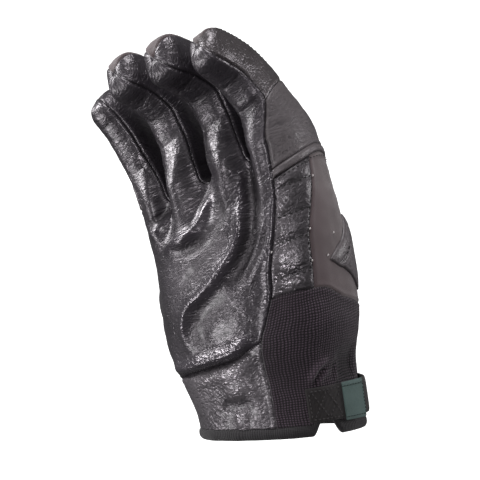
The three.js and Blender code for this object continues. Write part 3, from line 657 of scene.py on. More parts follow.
# Folds of the leather: height and width in millimetres, along a path of angles and height shares.
folds = dict(
    thumbRidge=(2.3, 3.0, [(-122, 0.80), (-112, 0.812), (-95, 0.835), (-90, 0.90), (-88, 0.955)]),
    thumbRidgeUnder=(-1.7, 3.4, [(-112, 0.76), (-95, 0.775), (-84, 0.84), (-80, 0.93)]),
    palmRidge=(2.9, 2.8, [(-103, 0.35), (-109, 0.41), (-109, 0.48), (-103, 0.555), (-94, 0.593), (-88, 0.635),
                          (-79, 0.698), (-72, 0.768), (-70, 0.858), (-70, 0.932), (-65, 0.995)]),
    palmValley=(-2.8, 4.2, [(-84, 0.56), (-77, 0.635), (-69, 0.72), (-64, 0.812), (-65, 0.90), (-62, 0.97)]),
    heelValley=(-1.0, 4.5, [(-108, 0.62), (-98, 0.68), (-90, 0.74), (-84, 0.82)]),
    crinkleOne=(0.5, 1.2, [(-54, 0.79), (-62, 0.72), (-72, 0.64), (-76, 0.60)]),
    crinkleTwo=(-0.5, 1.1, [(-52, 0.765), (-59, 0.70), (-68, 0.63), (-74, 0.58)]),
    crinkleThree=(0.4, 1.0, [(-52, 0.74), (-58, 0.68), (-67, 0.61), (-72, 0.57)]),
    indexCrease=(-1.3, 1.8, [(-139, 0.93), (-130, 0.925), (-122, 0.94), (-116, 0.965)]),
    indexRoll=(1.0, 2.2, [(-140, 0.895), (-130, 0.89), (-121, 0.905), (-113, 0.935)]),
    wristRoll=(3.2, 3.1, [(-150, 0.285), (-131, 0.305), (-110, 0.318), (-100, 0.33), (-86, 0.353),
                          (-78, 0.382), (-71, 0.42)]),
    wristTuck=(-2.4, 1.7, [(-150, 0.257), (-131, 0.267), (-100, 0.294), (-86, 0.317), (-77, 0.345),
                           (-69, 0.374)]),
    cuffRoll=(1.3, 4.0, [(-131, 0.232), (-100, 0.258), (-86, 0.28), (-74, 0.33)]),
    cuffPuff=(1.5, 6.0, [(-95, 0.20), (-84, 0.215), (-76, 0.23)]),
    cuffDent=(-1.3, 4.0, [(-100, 0.135), (-88, 0.14), (-76, 0.15)]),
    cuffLump=(1.2, 4.0, [(-92, 0.075), (-84, 0.07)]),
    palmEdge=(0.8, 1.5, [(-69, 0.40), (-66, 0.45), (-61, 0.53), (-59, 0.62), (-52, 0.76), (-48, 0.84),
                         (-43, 0.98)]),
    palmBowl=(-1.1, 5.4, [(-90, 0.37), (-98, 0.42), (-98, 0.48), (-90, 0.53), (-82, 0.58)]),
    gatherOne=(1.7, 1.6, [(-38, 0.185), (-34, 0.215), (-29, 0.245), (-23, 0.265), (-16, 0.27)]),
    gatherTwo=(1.4, 1.4, [(-30, 0.18), (-27, 0.205), (-22, 0.222), (-17, 0.225)]),
    gatherThree=(1.3, 1.8, [(-12, 0.185), (-10, 0.215), (-8, 0.26)]),
    gatherDipOne=(-1.1, 1.2, [(-33, 0.18), (-30, 0.207), (-25, 0.232), (-18, 0.242)]),
    gatherDipTwo=(-0.9, 1.4, [(-15, 0.185), (-13, 0.225), (-12, 0.265)]),
    knitPinch=(-2.2, 7.0, [(-14, 0.235), (0, 0.235), (14, 0.235)]),
    guardCrinkleOne=(0.6, 0.9, [(-48, 0.865), (-43, 0.845), (-39, 0.81), (-37, 0.785)]),
    guardCrinkleTwo=(0.5, 0.8, [(-45, 0.868), (-40, 0.85), (-35, 0.81), (-33, 0.78)]),
    guardCrinkleThree=(0.6, 0.8, [(-50, 0.84), (-46, 0.82), (-43, 0.79), (-41, 0.775)]),
)
# Creases across a finger: finger, share of its length, first and last turn, height and width.
fingerFolds = [
    (3, 0.33, 3.1, 3.95, -0.7, 1.6), (3, 0.41, 3.1, 4.0, 0.6, 2.0), (3, 0.60, 3.2, 4.0, -0.35, 1.6),
    (3, 0.83, 3.2, 3.9, -0.3, 1.2),
    (2, 0.20, 3.0, 3.6, -0.3, 1.6), (2, 0.34, 3.0, 3.9, -0.5, 1.6), (2, 0.41, 3.0, 3.9, 0.5, 1.9),
    (2, 0.55, 3.1, 4.0, -0.55, 1.6), (2, 0.80, 3.2, 4.0, -0.35, 1.3),
    (1, 0.14, 3.1, 3.8, -0.3, 1.6), (1, 0.30, 3.0, 3.8, -0.45, 1.5), (1, 0.37, 3.0, 3.9, 0.4, 2.0),
    (1, 0.53, 3.0, 4.0, -0.6, 1.6), (1, 0.79, 3.2, 4.0, -0.35, 1.3),
    (0, 0.17, 3.2, 4.0, -0.3, 1.4), (0, 0.38, 3.0, 4.0, -0.55, 1.5), (0, 0.45, 3.1, 4.0, 0.4, 2.0),
    (0, 0.66, 3.1, 4.0, -0.45, 1.4),
]
guardLines = [0.517, 0.575, 0.688, 0.77, 0.86, 0.91]
puffs = dict(guard=1.0, guardFade=4.0, piping=0.55)
unevenness = [(0.21, 17, 3), (0.072, 6, 5)]  # height, length, seed
seams = dict(drop=0.36, dropWidth=0.45, swell=0.22, swellAt=1.4, swellWidth=0.8, tipShare=0.15, tipFrom=2.5,
             tipFade=5.0)


# A fold lifts the skin by its height times a bell of the distance to its path, fading at both ends.
def foldLift(path, height, width):
    near = np.all((skinPoints > path.min(0) - 3 * width) & (skinPoints < path.max(0) + 3 * width), 1)
    chosen = np.flatnonzero(near)
    lift = np.zeros(len(skinPoints))
    if len(chosen) == 0:
        return lift
    square = ((skinPoints[chosen][:, None] - path[None]) ** 2).sum(-1)
    nearest = square.argmin(1)
    along = nearest / (len(path) - 1)
    fade = smooth(np.minimum(along, 1 - along) * 3.5)
    facing = smooth((skinNormals[chosen] * pathNormal(path)[nearest]).sum(1) * 1.6)
    lift[chosen] = height * fade * facing * np.exp(-square.min(1) / width**2)
    return lift


# The outward normals along a path: those of the nearest points of the skin.
def pathNormal(path):
    picks = np.linspace(0, len(path) - 1, 9).round().astype(int)
    nearest = [((skinPoints - path[pick]) ** 2).sum(1).argmin() for pick in picks]
    return skinNormals[nearest][np.abs(np.arange(len(path))[:, None] - picks[None]).argmin(1)]


# Waves of many directions and phases, added up: a gentle unevenness.
def ripple(points, length, seed):
    rng = np.random.default_rng(seed)
    directions = unit(rng.normal(size=(9, 3)))
    phases = rng.uniform(0, 2 * np.pi, 9)
    lengths = length * rng.uniform(0.7, 1.5, 9)
    return np.sin(points @ directions.T * 2 * np.pi / lengths + phases).sum(1) / 3


# Points of the hand along stops of angle and height share, joined by a smooth curve.
def curveOnHand(stops, count):
    table = [(i, angle, up) for i, (angle, up) in enumerate(stops)]
    values = readTable(table, np.linspace(0, len(stops) - 1, count))
    return handPoint(values[:, 1], values[:, 2])


foldSum = np.zeros(len(skinPoints))
for height, width, stops in folds.values():
    foldSum += foldLift(curveOnHand(stops, 70), height, width)
for index, share, turnFrom, turnTo, height, width in fingerFolds:
    finger = fingers[index]
    turns = np.linspace(turnFrom, turnTo, 60)
    bow = 0.03 * np.sin((turns - 3) * np.pi) - 0.03 * (turns - 3.5)
    foldSum += foldLift(fingerPoint(finger, turns, (share - bow) * finger["reach"]), height, width)

# The guard's cells and the piping puff out by sines across them.
onSkin = np.isfinite(skinAngle)
angleNow = np.where(onSkin, skinAngle, 0)
upNow = np.where(onSkin, skinUp, 0)
pastPalm = onSkin & (angleNow > palmSeamAt(upNow) - 0.01)
inGuard = (pastPalm & (angleNow < guardSeamAt(upNow) + 0.01)
           & (upNow > guardLines[0]) & (upNow < guardLines[-1]))
cell = np.interp(upNow, guardLines, np.arange(len(guardLines)))
guardRise = np.where(inGuard, puffs["guard"] * np.abs(np.sin(np.pi * cell)) ** 0.7, 0)
foldSum += guardRise * smooth(seamDistance / puffs["guardFade"])
pipingShare = (upNow - pipingLow(angleNow)) / (2 * pipingHalf)
onPiping = pastPalm & (pipingShare > 0) & (pipingShare < 1)
foldSum += np.where(onPiping, puffs["piping"] * np.sin(np.pi * np.clip(pipingShare, 0, 1)) ** 0.6, 0)
uneven = sum(height * ripple(skinPoints, length, seed) for height, length, seed in unevenness)
# Leather sinks into a seam and swells beside it. The seams fade out at the very tips.
seamDrop = (-seams["drop"] * np.exp(-((seamDistance / seams["dropWidth"]) ** 2))
            + seams["swell"] * np.exp(-(((seamDistance - seams["swellAt"]) / seams["swellWidth"]) ** 2)))
for finger in fingers:
    fromTip = np.linalg.norm(skinPoints - finger["line"]["point"][-1], axis=1)
    seamDrop = seamDrop * mix(seams["tipShare"], 1, smooth((fromTip - seams["tipFrom"]) / seams["tipFade"]))
skinPoints = skinPoints + skinNormals * (foldSum + uneven)[:, None]
skinNormals = normalsOf(skinPoints, skinQuads)
skinPoints = skinPoints + skinNormals * seamDrop[:, None]
print("folds done")


# Closes an outer surface into a shell: the same faces turned round on the inner points, and a
# wall along each open edge. Faces whose corners coincide at a pole become triangles.
def shellFaces(quads, uvs, count):
    isTriangle = (quads[:, 0] == quads[:, 1]) | (quads[:, 2] == quads[:, 3])
    full, fullUv = quads[~isTriangle], uvs[~isTriangle]
    flat, flatUv = quads[isTriangle], uvs[isTriangle]
    keep = np.where((flat[:, 0] == flat[:, 1])[:, None], [1, 2, 3], [0, 1, 2])
    triangles = np.take_along_axis(flat, keep, 1)
    triangleUv = np.take_along_axis(flatUv, keep[..., None], 1)
    alive = ((triangles[:, 0] != triangles[:, 1]) & (triangles[:, 1] != triangles[:, 2])
             & (triangles[:, 2] != triangles[:, 0]))
    triangles, triangleUv = triangles[alive], triangleUv[alive]
    directed = np.concatenate([sidesOf(full), sidesOf(triangles)])
    directedUv = np.concatenate([uv.swapaxes(0, 1).reshape(-1, 2) for uv in (fullUv, triangleUv)])
    code, back = directed[:, 0] * count + directed[:, 1], directed[:, 1] * count + directed[:, 0]
    isOpen = ~np.isin(code, back)
    a, b = directed[isOpen, 0], directed[isOpen, 1]
    walls = np.stack([b, a, a + count, b + count], 1)
    wallUv = np.repeat(directedUv[isOpen][:, None], 4, 1)
    quadPart = np.concatenate([full, full[:, ::-1] + count, walls])
    quadUv = np.concatenate([fullUv, fullUv[:, ::-1], wallUv])
    trianglePart = np.concatenate([triangles, triangles[:, ::-1] + count])
    triangleUvPart = np.concatenate([triangleUv, triangleUv[:, ::-1]])
    return (quadPart.tolist() + trianglePart.tolist(),
            np.concatenate([quadUv.reshape(-1, 2), triangleUvPart.reshape(-1, 2)]))


pieces = {}


# A smooth mesh object of points in millimetres, with a UV for each corner and values for each point.
def makeMesh(name, points, faces, uvs=None, values=None):
    mesh = bpy.data.meshes.new(name)
    mesh.from_pydata((points.reshape(-1, 3) * mm).tolist(), [], faces)
    if uvs is not None:
        layer = mesh.uv_layers.new(name="UVMap")
        layer.uv.foreach_set("vector", uvs.astype(np.float32).reshape(-1))
    for key, numbers in (values or {}).items():
        attribute = mesh.attributes.new(key, "FLOAT", "POINT")
        attribute.data.foreach_set("value", np.asarray(numbers, np.float32))
    mesh.polygons.foreach_set("use_smooth", np.ones(len(mesh.polygons), bool))
    mesh.update()
    return placed(name, mesh)


def addPiece(name, points, faces, uvs=None, values=None):
    pieces[name] = makeMesh("sewn_" + name, points, faces, uvs, values)


# A panel of the skin: its own faces, with an inner surface one wall further in.
def addPanel(name, thick):
    chosen = np.flatnonzero(skinPanels == panelNames.index(name))
    numbers, local = np.unique(skinQuads[chosen], return_inverse=True)
    outer = skinPoints[numbers]
    inner = outer - skinNormals[numbers] * thick
    faces, uvs = shellFaces(local.reshape(-1, 4), skinUvs[chosen], len(numbers))
    # Relief is the fold height. The finishes also paint it into colour: painted shade in valleys, painted
    # highlight on raised folds.
    relief = np.tile(np.clip(foldSum[numbers] / 1.5, -1, 1), 2)
    seam = np.tile(np.minimum(seamDistance[numbers], 20), 2)
    unknownAngle = 0 if name == "knuckle_guard" else -90  # for the fingers, which have no hand angle
    angle = np.tile(np.nan_to_num(skinAngle[numbers], nan=unknownAngle), 2)
    addPiece(name, np.concatenate([outer, inner]), faces, uvs, dict(relief=relief, seam=seam, around=angle))


# A closed surface from a grid whose columns run round and whose rows end in flat caps.
def addRound(name, points, uvU, uvV):
    number = gridNumbers(*points.shape[:2])
    uv = np.stack(np.broadcast_arrays(uvU, uvV), -1)
    quads, uvs = (cornersOf(np.concatenate([grid, grid[:, :1]], 1)) for grid in (number, uv))
    caps = [number[0, ::-1].tolist(), number[-1].tolist()]
    allUvs = np.concatenate([uvs.reshape(-1, 2), uv[0, ::-1], uv[-1]])
    addPiece(name, points, quads.reshape(-1, 4).tolist() + caps, allUvs)


for name in panelNames:
    isFabric = name.endswith("finger_back") or name == "hand_back"
    addPanel(name, wallThick["knit" if name == "wrist_knit" else "fabric" if isFabric else "leather"])
print("panels done")

# The tape that binds the rim, a rounded strip folded over the edge.
binding = dict(columns=420, around=24, proud=1.15, box=2.1, wave=0.15, waveLength=9, waveSeed=8,
               uvPerDegree=0.07, uvRound=1.2)


# The tape's section is a superellipse of height along the hand and depth along its normal.
def bindingPoints():
    angle = np.linspace(-180, 180, binding["columns"] + 1)[:-1][:, None]
    t = np.linspace(0, 2 * np.pi, binding["around"] + 1)[:-1][None, :]
    half = rim["binding"] / 2 / hand["webHeight"]
    up = rimAt(angle) + half + half * power(np.sin(t), 2 / binding["box"])
    halfWall = wallThick["leather"] / 2
    depth = -halfWall + (halfWall + binding["proud"]) * power(np.cos(t), 2 / binding["box"])
    angle = np.broadcast_to(angle, up.shape)
    ground = handPoint(angle, up)
    wave = ripple(ground.reshape(-1, 3), binding["waveLength"], binding["waveSeed"]).reshape(up.shape)
    depth = depth + binding["wave"] * wave
    return ground + handNormal(angle, np.maximum(up, 0.011)) * depth[..., None], angle, t


# The tape closes on itself both ways: its first row and column come again at the end.
def addBinding():
    points, angle, t = bindingPoints()
    number = gridNumbers(*points.shape[:2])
    number = np.concatenate([number, number[:1]])
    number = np.concatenate([number, number[:, :1]], 1)
    uvU = np.concatenate([angle, angle[:1] + 360]) * binding["uvPerDegree"]
    uv = np.stack(np.broadcast_arrays(uvU, t / (2 * np.pi) * binding["uvRound"]), -1)
    uv = np.concatenate([uv, uv[:, :1] + [0, binding["uvRound"]]], 1)
    quads, uvs = (cornersOf(grid)[:, :, [0, 3, 2, 1]] for grid in (number, uv))
    addPiece("cuff_binding", points, quads.reshape(-1, 4).tolist(), uvs)


addBinding()

# The padded lozenge on the back of the hand, and the strap and label round the cuff.
backPad = dict(angle=24.0, height=0.59, halfWidth=34.0, halfHeight=0.125, edge=0.5, proud=3.0, faces=70,
               sewnAt=0.8, sewnWidth=0.02, sewnDepth=0.64, sewnFade=0.06, sunk=0.3, stitchHeight=1.6,
               uvPerDegree=0.085)
strap = dict(start=-41.0, stop=150.0, low=7.0, high=22.5, thick=1.5, lift=0.95, columns=260, around=24,
             endAngle=1.6)
label = dict(start=-12.0, stop=6.0, low=6.0, high=23.0, thick=0.8, lift=2.75, columns=40, around=36,
             endAngle=0.8)
band = dict(box=5, edgeBox=2.6, endWidth=0.94, uvPerDegree=0.075, wave=1.5, waveFrom=-12, waveTo=34,
            waveFade=20)


# The lozenge's own coordinates run from 0 to 1 along two of its sides.
def onBackPad(i, j):
    return (backPad["angle"] + backPad["halfWidth"] * (j - i),
            backPad["height"] + backPad["halfHeight"] * (i + j - 1))


# The lozenge rises from its edges by a fourth-power crown, fuller towards its upper corner, and
# sinks along a sewn line near its two upper sides.
def addBackPad():
    share = np.linspace(0, 1, backPad["faces"] + 1)
    i, j = np.meshgrid(share, share, indexing="ij")
    angle, up = onBackPad(i, j)
    crown = np.maximum((1 - (2 * i - 1) ** 4) * (1 - (2 * j - 1) ** 4), 0)
    rise = backPad["edge"] + (backPad["proud"] - backPad["edge"]) * np.sqrt(crown) * (0.4 + 0.3 * (i + j))
    sewn = sum(np.exp(-(((side - backPad["sewnAt"]) / backPad["sewnWidth"]) ** 2)) for side in (i, j))
    edge = np.minimum(np.minimum(i, 1 - i), np.minimum(j, 1 - j))
    rise = rise - backPad["sewnDepth"] * sewn * smooth(edge / backPad["sewnFade"])
    normal, ground = handNormal(angle, up), handPoint(angle, up)
    points = np.concatenate([ground + normal * rise[..., None], ground - normal * backPad["sunk"]])
    uv = np.stack([angle * backPad["uvPerDegree"], up * hand["webHeight"] / 10], -1)
    quads, uvs = cornersOf(gridNumbers(*i.shape)).reshape(-1, 4), cornersOf(uv).reshape(-1, 4, 2)
    faces, cornerUv = shellFaces(quads, uvs, i.size)
    values = dict(relief=np.zeros(2 * i.size), seam=np.tile(edge.reshape(-1) * 50, 2),
                  around=np.full(2 * i.size, 20.0))
    addPiece("back_pad", points, faces, cornerUv, values)


# The strap stands off the knit in a low wave beside its label.
def bandWave(angle):
    return (band["wave"] * smooth((angle - band["waveFrom"]) / band["waveFade"])
            * smooth((band["waveTo"] - angle) / band["waveFade"]))


# A band round the cuff: a superellipse section carried along an arc, closed by round ends.
def addBand(name, size):
    t = np.linspace(0, 2 * np.pi, size["around"] + 1)[:-1][None, :]
    column = np.linspace(size["start"], size["stop"], size["columns"] + 1)[:, None]
    fromEnd = np.minimum(column - size["start"], size["stop"] - column)
    dome = np.maximum(0, 1 - np.clip(1 - fromEnd / size["endAngle"], 0, 1) ** 4) ** 0.25
    middle, half = (size["low"] + size["high"]) / 2, (size["high"] - size["low"]) / 2
    height = middle + half * power(np.cos(t), 2 / band["box"]) * mix(band["endWidth"], 1, dome)
    halfThick = size["thick"] / 2
    edge = dome * power(np.sin(t), 2 / band["edgeBox"])
    depth = size["lift"] + halfThick + bandWave(column) + halfThick * edge
    up = height / hand["webHeight"]
    angle = np.broadcast_to(column, up.shape)
    points = handPoint(angle, up) + handNormal(angle, up) * depth[..., None]
    addRound(name, points[:, ::-1], (column * band["uvPerDegree"])[:, ::-1], (height / 10)[:, ::-1])


addBackPad()
addBand("wrist_strap", strap)
addBand("strap_label", label)
print("cuff pieces done")

# Stitches: short rounded threads laid end to end along a seam.
stitching = dict(pitch=2.6, share=0.62, radius=0.24, rings=5, sides=6)


# Each stitch is a tube of circles along its own stretch of the path, swelling and sinking by a sine.
def stitchPoints(path, normal, sink, radius, pitch, share):
    length = lengthsAlong(path) * 10
    count = max(1, int(length[-1] / pitch))
    start = (np.arange(count) + 0.5 - share / 2) * length[-1] / count
    s = np.linspace(0, 1, stitching["rings"])
    at = start[:, None] + s * pitch * share
    centre = np.stack([np.interp(at, length, path[:, c]) for c in range(3)], -1)
    up = unit(np.stack([np.interp(at, length, normal[:, c]) for c in range(3)], -1))
    along = unit(centre[:, -1:] - centre[:, :1])
    side = np.cross(up, along)
    t = np.linspace(0, 2 * np.pi, stitching["sides"], endpoint=False)
    thin = np.sqrt(np.sin(np.pi * np.clip(s, 0.06, 0.94)))[None, :, None, None] * radius
    bow = (sink + radius * 0.6 * np.sin(np.pi * s))[None, :, None, None]
    circle = side[:, :, None] * np.cos(t)[:, None] + up[:, :, None] * np.sin(t)[:, None]
    return centre[:, :, None] + up[:, :, None] * bow + circle * thin


# Joins several rows of stitches into one mesh.
def addStitches(name, parts):
    tubes = np.concatenate(parts)
    number = np.arange(np.prod(tubes.shape[:3])).reshape(tubes.shape[:3])
    across = np.moveaxis(np.concatenate([number, number[..., :1]], 2), 0, -1)
    quads = np.moveaxis(cornersOf(across), -1, 0).reshape(-1, 4)
    caps = np.concatenate([number[:, 0, ::-1], number[:, -1]])
    addPiece(name, tubes, quads[:, ::-1].tolist() + caps[:, ::-1].tolist())


# The skin's own surface under a path: each point and normal is taken from the nearest skin point.
def onSurface(path):
    points = np.empty_like(path)
    normals = np.empty_like(path)
    for i, p in enumerate(path):
        square = ((skinPoints - p) ** 2).sum(1)
        nearest = np.argpartition(square, 6)[:6]
        weight = 1 / (square[nearest] + 0.05)
        weight = weight / weight.sum()
        normals[i] = unit((skinNormals[nearest] * weight[:, None]).sum(0))
        offset = ((skinPoints[nearest] - p) * weight[:, None]).sum(0)
        points[i] = p + normals[i] * offset.dot(normals[i])
    return points, normals


def handPath(stops, count=90):
    return onSurface(curveOnHand(stops, count))


def fingerPath(index, turn, start, stop, count=60):
    share = np.linspace(start, stop, count)
    return onSurface(fingerPoint(fingers[index], np.full(count, turn), share * fingers[index]["reach"]))


def padPath(isRow, count=60):
    share, fixed = np.linspace(0.04, 0.96, count), np.full(count, backPad["sewnAt"])
    angle, up = onBackPad(*((fixed, share) if isRow else (share, fixed)))
    normal = handNormal(angle, up)
    return handPoint(angle, up) + normal * backPad["stitchHeight"], normal


def bandPath(start, stop, size, count=40):
    share = np.linspace(0, 1, count)
    angle, height = mix(start[0], stop[0], share), mix(start[1], stop[1], share)
    up = height / hand["webHeight"]
    normal = handNormal(angle, up)
    depth = size["lift"] + size["thick"] + bandWave(angle)
    return handPoint(angle, up) + normal * depth[:, None], normal


def sew(path, sink=0.0, radius=stitching["radius"], pitch=stitching["pitch"], share=stitching["share"]):
    return stitchPoints(path[0], path[1], sink, radius, pitch, share)


guardSew = [[(mix(palmSeamAt(up), guardSeamAt(up), s), up) for s in (0.03, 0.3, 0.65, 0.98)]
            for up in guardLines[1:-1]]
guardEdge = [(float(guardSeamAt(np.array(up))) - 1.4, up) for up in (0.575, 0.64, 0.70, 0.77, 0.86)]
pipingEdge = [(angle, float(seamAt(knuckleSeam, np.array(angle))) - 0.024)
              for angle in (-40, -25, -12, 0, 20, 60, 100, 140)]
palmSew = [(-136, 0.292), (-120, 0.30), (-100, 0.322), (-90, 0.338), (-80, 0.37), (-72, 0.41)]
# Rows along the fingers: finger, turn, first and last share of its length.
fingerSew = [(0, 1.05, 0.50, 0.93), (0, 0.93, 0.50, 0.93), (0, 3.05, 0.05, 0.75), (1, 3.05, 0.05, 0.75),
             (2, 3.05, 0.05, 0.75), (3, 3.95, 0.05, 0.75), (2, 3.95, 0.05, 0.75), (1, 3.95, 0.05, 0.75)]
paleEnds = [(-9, 0.855), (-24.5, 0.70), (-27, 0.60), (-3, 0.665), (-12.5, 0.602), (-55, 0.665)]
# Rows on the strap and its label: first and last angle and height.
strapSew = [((-38.6, 9), (-38.6, 20.5)), ((-36.4, 9), (-25.5, 20.5)), ((-36.4, 20.5), (-25.5, 9)),
            ((-24.5, 9), (-13.6, 20.5)), ((-24.5, 20.5), (-13.6, 9)), ((-38, 8.3), (-13, 8.3)),
            ((-38, 21.2), (-13, 21.2))]
labelSew = [((-10.8, 7.6), (4.8, 7.6)), ((-10.8, 21.3), (4.8, 21.3)), ((4.9, 7.8), (4.9, 21.1))]

darkRows = [sew(handPath(row), radius=0.3) for row in guardSew]
darkRows += [sew(handPath(guardEdge), radius=0.28), sew(handPath(palmSew), pitch=2.2)]
darkRows += [sew(handPath(pipingEdge, 200), pitch=2.4)]
darkRows += [sew(fingerPath(*row), radius=0.2, pitch=2.2) for row in fingerSew]
addStitches("stitching_dark", darkRows)
addStitches("stitching_pale", [sew(handPath([(angle, up), (angle + 1.5, up + 0.006)], 6), 0.2, 0.34, 1.4, 0.8)
                               for angle, up in paleEnds])
addStitches("stitching_pad", [sew(padPath(isRow), 0.2) for isRow in (True, False)])
addStitches("stitching_strap", [sew(bandPath(*row, strap), 0.02, 0.26, 1.7) for row in strapSew])
addStitches("stitching_label", [sew(bandPath(*row, label), 0.02, 0.22, 1.5) for row in labelSew])
print("stitches done")


# A socket whose arithmetic adds Math nodes to its material.
class Wire:
    def __init__(self, finish, socket):
        self.finish = finish
        self.socket = socket

    def math(self, operation, a, b=0.0):
        return self.finish.node("Math", {"operation": operation}, {0: a, 1: b})

    def __add__(self, other):
        return self.math("ADD", self, other)

    def __sub__(self, other):
        return self.math("SUBTRACT", self, other)

    def __rsub__(self, other):
        return self.math("SUBTRACT", other, self)

    def __mul__(self, other):
        return self.math("MULTIPLY", self, other)

    def __truediv__(self, other):
        return self.math("DIVIDE", self, other)

    def __abs__(self):
        return self.math("ABSOLUTE", self)

    __radd__ = __add__
    __rmul__ = __mul__

    def sine(self):
        return self.math("SINE", self)

    def fraction(self):
        return self.math("FRACT", self)

    def clamped(self):
        return self.math("MINIMUM", self.math("MAXIMUM", self, 0.0), 1.0)


# One material's nodes. node() adds any node: its type, its settings, then its sockets.
class Finish:
    def __init__(self, name, **constants):
        self.material = bpy.data.materials.new(name)
        self.material.use_nodes = True
        self.tree = self.material.node_tree
        self.tree.nodes.clear()
        self.shader = self.tree.nodes.new("ShaderNodeBsdfPrincipled")
        output = self.tree.nodes.new("ShaderNodeOutputMaterial")
        self.tree.links.new(self.shader.outputs[0], output.inputs[0])
        for key, value in constants.items():
            self.shader.inputs[key.replace("_", " ")].default_value = value

    def feed(self, socket, value):
        if isinstance(value, Wire):
            self.tree.links.new(value.socket, socket)
        elif isinstance(value, tuple) and socket.type == "RGBA":
            socket.default_value = (*value, 1.0)
        else:
            socket.default_value = value

    def node(self, kind, settings=None, sockets=None, output=0):
        new = self.tree.nodes.new("ShaderNode" + kind)
        for key, value in (settings or {}).items():
            setattr(new, key, value)
        for key, value in (sockets or {}).items():
            self.feed(new.inputs[key], value)
        return Wire(self, new.outputs[output])

    def uv(self, scale=(10, 10, 10)):
        place = self.node("UVMap", {"uv_map": "UVMap"})
        return self.node("Mapping", None, {"Vector": place, "Scale": scale})

    # The X and Y of a vector, as two wires.
    def flat(self, vector):
        x = self.node("SeparateXYZ", None, {0: vector})
        return x, Wire(self, x.socket.node.outputs[1])

    def value(self, name):
        return self.node("Attribute", {"attribute_name": name}, None, "Fac")

    def noise(self, vector, scale, detail=2.0, roughness=0.5):
        sockets = {"Vector": vector, "Scale": scale, "Detail": detail, "Roughness": roughness}
        return self.node("TexNoise", None, sockets)

    # Noise in millimetres of the object's own space.
    def spots(self, scale, detail):
        place = self.node("TexCoord", None, None, "Object")
        vector = self.node("Mapping", None, {"Vector": place, "Scale": (1000, 1000, 1000)})
        return self.noise(vector, scale, detail)

    # How a wavy noise bends a pattern: its colour, which is added to the pattern's vector.
    def warp(self, vector, scale, detail):
        return self.node("TexNoise", None, {"Vector": vector, "Scale": scale, "Detail": detail}, "Color")

    def blend(self, a, b, share):
        return self.node("Mix", {"data_type": "RGBA"}, {0: share, 6: a, 7: b}, 2)

    def shifted(self, vector, by, amount):
        scaled = self.node("VectorMath", {"operation": "SCALE"}, {0: by, "Scale": amount})
        return self.node("VectorMath", {"operation": "ADD"}, {0: vector, 1: scaled})

    def finish(self, color, roughness, height):
        self.feed(self.shader.inputs["Base Color"], color)
        self.feed(self.shader.inputs["Roughness"], roughness)
        bump = self.node("Bump", None, {"Distance": mm, "Height": height})
        self.feed(self.shader.inputs["Normal"], bump)
        return self.material


# Grain leather: fine ridged lines, drawn out across the hand, with faint pebbles, wider creases and
# soft waves. Fold valleys are painted darker and are duller, and raised folds are painted lighter and
# are smoother: painted shade and painted highlight. A band beside each seam is lighter. Past the angle
# matteAt the leather turns matte over matteOver degrees, and its colour there is shifted by a set
# amount: painted shade where it darkens, painted light where it lightens.
leatherLook = dict(pebble=1.0, stretch=0.6, gloss=0.34, domes=0.06, lines=0.16, creases=0.12, waves=0.85,
                   matteAt=None, matteOver=12, matteShade=0.0, matteRough=0.25, wornAt=1.5, worn=0.3)


def leather(name, dark, light, **changes):
    look = dict(leatherLook, **changes)
    finish = Finish(name, Specular_IOR_Level=0.65, Specular_Tint=(1.0, 0.91, 0.99, 1.0), Coat_Weight=0.12,
                    Coat_Roughness=0.22)
    base = finish.uv((10 * look["stretch"], 10, 10))
    warp = finish.warp(base, 0.22, 2.0)
    bent = finish.shifted(base, warp, 3.0)
    cells = finish.node("TexVoronoi", {"feature": "F1"}, {"Vector": bent, "Scale": 1 / look["pebble"]})
    domes = (1 - cells * cells * 1.5).clamped()
    drawn = finish.shifted(finish.uv((3.6, 9, 10)), warp, 4.0)
    lines = (1 - abs(finish.noise(drawn, 0.72, 1.0, 0.4) - 0.5) * 4.0).clamped()
    creases = 1 - abs(finish.noise(drawn, 0.36) - 0.5) * 3.0
    waves = finish.noise(drawn, 0.11, 2.0, 0.45)
    patches = finish.spots(0.05, 2.0)
    relief = finish.value("relief")
    height = (domes * look["domes"] + lines * look["lines"] + creases * look["creases"]
              + waves * look["waves"])
    # Fold relief paints raised folds lighter and valleys darker: painted highlight and painted shade.
    shade = domes * 0.2 + lines * 0.4 + creases * 0.1 + patches * 0.7 + relief * 0.5 - 0.45
    # Lighter in a band about a millimetre and a half from each seam.
    worn = (1 - abs(finish.value("seam") - look["wornAt"])).clamped() * look["worn"]
    rough = look["gloss"] + (1 - domes) * 0.06 + (1 - lines) * 0.1 + (patches - 0.5) * 0.24 - relief * 0.12
    if look["matteAt"] is not None:
        matte = ((finish.value("around") - look["matteAt"]) / look["matteOver"]).clamped()
        rough = rough + matte * look["matteRough"]
        # Past matteAt the colour is shifted by a set amount: painted shade where it darkens, painted light
        # where it lightens.
        shade = shade + matte * look["matteShade"]
    return finish.finish(finish.blend(dark, light, (shade + worn).clamped()), rough.clamped(), height)


# Smooth stretch cloth: a fine weave of two crossed waves, with soft patches of tone, and fold relief painted
# in as painted highlight and painted shade.
def stretchCloth(name, dark, light, pitch=0.62):
    finish = Finish(name, Specular_IOR_Level=0.3, Sheen_Weight=0.25, Sheen_Roughness=0.5)
    across, along = ((part * (2 * np.pi / pitch)).sine() for part in finish.flat(finish.uv()))
    weave = across * along * 0.5 + 0.5
    patches, fuzz = finish.spots(0.06, 3.0), finish.spots(2.2, 2.0)
    # Fold relief paints raised folds lighter and valleys darker: painted highlight and painted shade.
    shade = patches * 0.6 + weave * 0.25 + fuzz * 0.2 + finish.value("relief") * 0.15 - 0.05
    color = finish.blend(dark, light, shade.clamped())
    return finish.finish(color, 0.78 + fuzz * 0.15, weave * 0.07 + fuzz * 0.05)


